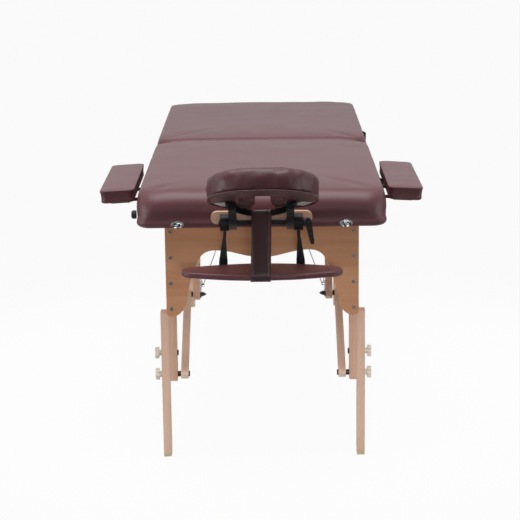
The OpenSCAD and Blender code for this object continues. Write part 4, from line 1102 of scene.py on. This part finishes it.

# %% [markdown]
# ## The steel cables
# Two cables on each side of each section run from the frame down to the knee. They go slack
# when the legs fold; here each is a straight wire that rides on its section, and the small
# clamp at the knee stays with the strut. The places are given for the head section's right
# side, and the other three sides are its mirror images.

# %% Cables
wire_r = 0.0014
knee_at = Vector((0.1801, -0.4241, 0.4410))
wire_ends = {"rear": Vector((0.0533, 0.1256, 0.7010)),
             "front": Vector((0.2327, -0.7305, 0.7150))}


def mirrored_point(p, side, at_foot):
    """A point of the head section's right side, for either side and either section."""
    return Vector((side * p.x, head_y + foot_y - p.y if at_foot else p.y, p.z))


def round_rings(middle, steps, count=20):
    """Circles round an axis along x, for pairs of a distance in x and a radius."""
    turns = [2 * math.pi * j / count for j in range(count)]
    return [[middle + Vector((x, r * math.cos(t), r * math.sin(t))) for t in turns]
            for x, r in steps]


def cable(name, end, side, far):
    """A straight wire from the knee to one far end, riding on its section."""
    at_foot = end == "foot"
    near, away_end = mirrored_point(knee_at, side, at_foot), mirrored_point(far, side, at_foot)
    steps = 24
    path = [near.lerp(away_end, k / steps) for k in range(steps + 1)]
    piece = tube(name, path, wire_r, False, 8)
    dress(piece, f"{end}_section", wire_steel)
    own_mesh(piece)
    return piece


for end in ("head", "foot"):
    for side, side_name in ((-1, "left"), (1, "right")):
        for part, far in wire_ends.items():
            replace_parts(cable(f"{end}_cable_{side_name}_{part}", end, side, far), f"{end}_cables")
        rings = round_rings(mirrored_point(knee_at, side, end == "foot"),
                            [(side * x, r) for x, r in ((-0.0031, 0.0034), (-0.0027, 0.0043),
                                                        (0.0052, 0.0043), (0.0056, 0.0034))])
        dress(skin(f"{end}_clamp_{side_name}", rings), f"{end}_struts", bright_steel, 35)
print("cables and clamps at both ends")

# %% [markdown]
# ## The carry handles
# A handle is a length of webbing screwed to the side of the frame at both ends, with slack that
# bows out for a hand. The ribbon follows the bow of the CAD band, and each end has a domed
# screw.

# %% Handles
def handle(name, node, body):
    low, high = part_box(node)
    mid = (low.y + high.y) / 2
    base = low.x + 0.0016
    half, bow = (high.y - low.y) / 2 - 0.0085, high.x - low.x - 0.0032
    z = (low.z + high.z) / 2
    path = [Vector((base, mid - half - 0.0075, z))]
    path += [Vector((base + bow * (0.5 + 0.5 * math.cos(math.pi * s)) ** 0.8, mid + s * half, z))
             for s in (-1 + k / 14 for k in range(29))]
    path.append(Vector((base, mid + half + 0.0075, z)))
    piece = ribbon(name, path, [(0, 0, 1)] * len(path), high.z - low.z, 0.0026, 0.25, 16)
    dress(piece, body, handle_webbing, 60)
    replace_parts(piece, node)
    for k, y in enumerate((mid - half - 0.002, mid + half + 0.002)):
        rings = round_rings(Vector((base, y, z)), ((0.0012, 0.0065), (0.0030, 0.0065),
                                                   (0.0040, 0.0048), (0.0042, 0.0020)))
        dress(skin(f"{name}_screw_{k}", rings), body, bright_steel, 35)
    return piece


handle("head_carry_handle", "head_handle", "head_section")
handle("foot_carry_handle", "foot_handle", "foot_section")

# %% [markdown]
# ## Floor
# The photograph is a cut-out on white. Here the floor is pale and lit near the table, and mixes
# in white where the camera looks at it, so it keeps a trace of the table's shadow and still
# ends up nearly white. Further out it is darker, so that it throws less light at the vinyl.

# %% Floor
bpy.ops.mesh.primitive_plane_add(size=60, location=(0, 0, -0.0004))
floor = bpy.context.object
floor.name = "floor"
floor_finish = Finish("floor", {"Roughness": 0.9})
away = floor_finish.vector("DISTANCE", floor_finish.place(), (0.0, 0.0, 0.0), "Value")
pale_within = 0.9
floor_finish.surface(base_color=floor_finish.mix(((away - pale_within) * 1.1).clamped(),
                                                 (0.72, 0.72, 0.72, 1), (0.14, 0.14, 0.14, 1)))
seen, through, mirrored = [floor_finish.ray(k) for k in ("Camera", "Transmission", "Glossy")]
white = floor_finish.node("ShaderNodeEmission", {}, {"Color": (1, 1, 1, 1)})
shaded = Value(floor_finish, floor_finish.shader.outputs[0])
share = (seen + through + mirrored * 0.1).clamped() * 0.95
floor_finish.feed(floor_finish.tree.nodes["Material Output"].inputs["Surface"],
                  floor_finish.mix_shaders(share, shaded, white))
floor.data.materials.append(floor_finish.material)
print("floor is ready")

# %% [markdown]
# ## World and lamps
# The world is white to the camera and behind anything clear. To all else it is a soft slope,
# dark in front and pale at the back and overhead, a little stronger in reflections than as
# light. One broad lamp hangs above, a softbox stands at each side, and a small one in front,
# kept narrow, reaches the legs and the end panel.

# %% World and lamps
world = bpy.data.worlds.new("studio")
scene.world = world
world.use_nodes = True
world.node_tree.nodes.clear()
sky = Tree(world.node_tree)
_, to_back, to_top = sky.parts(sky.place("Generated"))
steepness = 0.9
rise = to_back * steepness + to_top * steepness


def backdrop(low, high, begin, end):
    """Background whose strength rises from the front of the room to the back and the ceiling."""
    strength = sky.node("ShaderNodeMapRange", {"interpolation_type": "SMOOTHSTEP"},
                        {"Value": rise, "From Min": begin, "From Max": end,
                         "To Min": low, "To Max": high})
    return sky.node("ShaderNodeBackground", {}, {"Color": (1, 1, 1, 1), "Strength": strength})


pure = sky.node("ShaderNodeBackground", {}, {"Color": (1, 1, 1, 1), "Strength": 1.0})
seen = sky.ray("Camera")
for_light, for_reflections = backdrop(0.03, 0.48, 0.0, 0.8), backdrop(0.10, 0.64, -0.40, 0.5)
around = sky.mix_shaders(sky.ray("Glossy"), for_light, for_reflections)
world_output = sky.tree.nodes.new("ShaderNodeOutputWorld")
sky.feed(world_output.inputs["Surface"],
         sky.mix_shaders(seen.maths("MAXIMUM", seen, sky.ray("Transmission")), around, pure))


def lamp(name, place, target, size, power):
    """A rectangular lamp that looks at a target."""
    data = bpy.data.lights.new(name, "AREA")
    data.shape, data.size, data.size_y, data.energy = "RECTANGLE", size[0], size[1], power
    made = bpy.data.objects.new(name, data)
    scene.collection.objects.link(made)
    made.location = place
    made.rotation_euler = (Vector(target) - Vector(place)).to_track_quat("-Z", "Y").to_euler()
    return made


key = lamp("overhead", (-0.1, -0.8, 3.6), (0.0, -0.2, 0.6), (3.2, 2.4), 92)
left_box = lamp("left_softbox", (-3.4, -1.7, 0.8), (0, -1.0, 0.75), (2.4, 1.5), 40)
right_box = lamp("right_softbox", (3.4, -1.7, 0.8), (0, -1.0, 0.7), (2.0, 1.5), 24)
grid = lamp("leg_softbox", (0.5, -4.2, 0.9), (0.1, -0.6, 0.20), (1.5, 0.3), 1.0)
grid.data.spread = math.radians(22)
print("lamps:", key.name, left_box.name, right_box.name, grid.name)
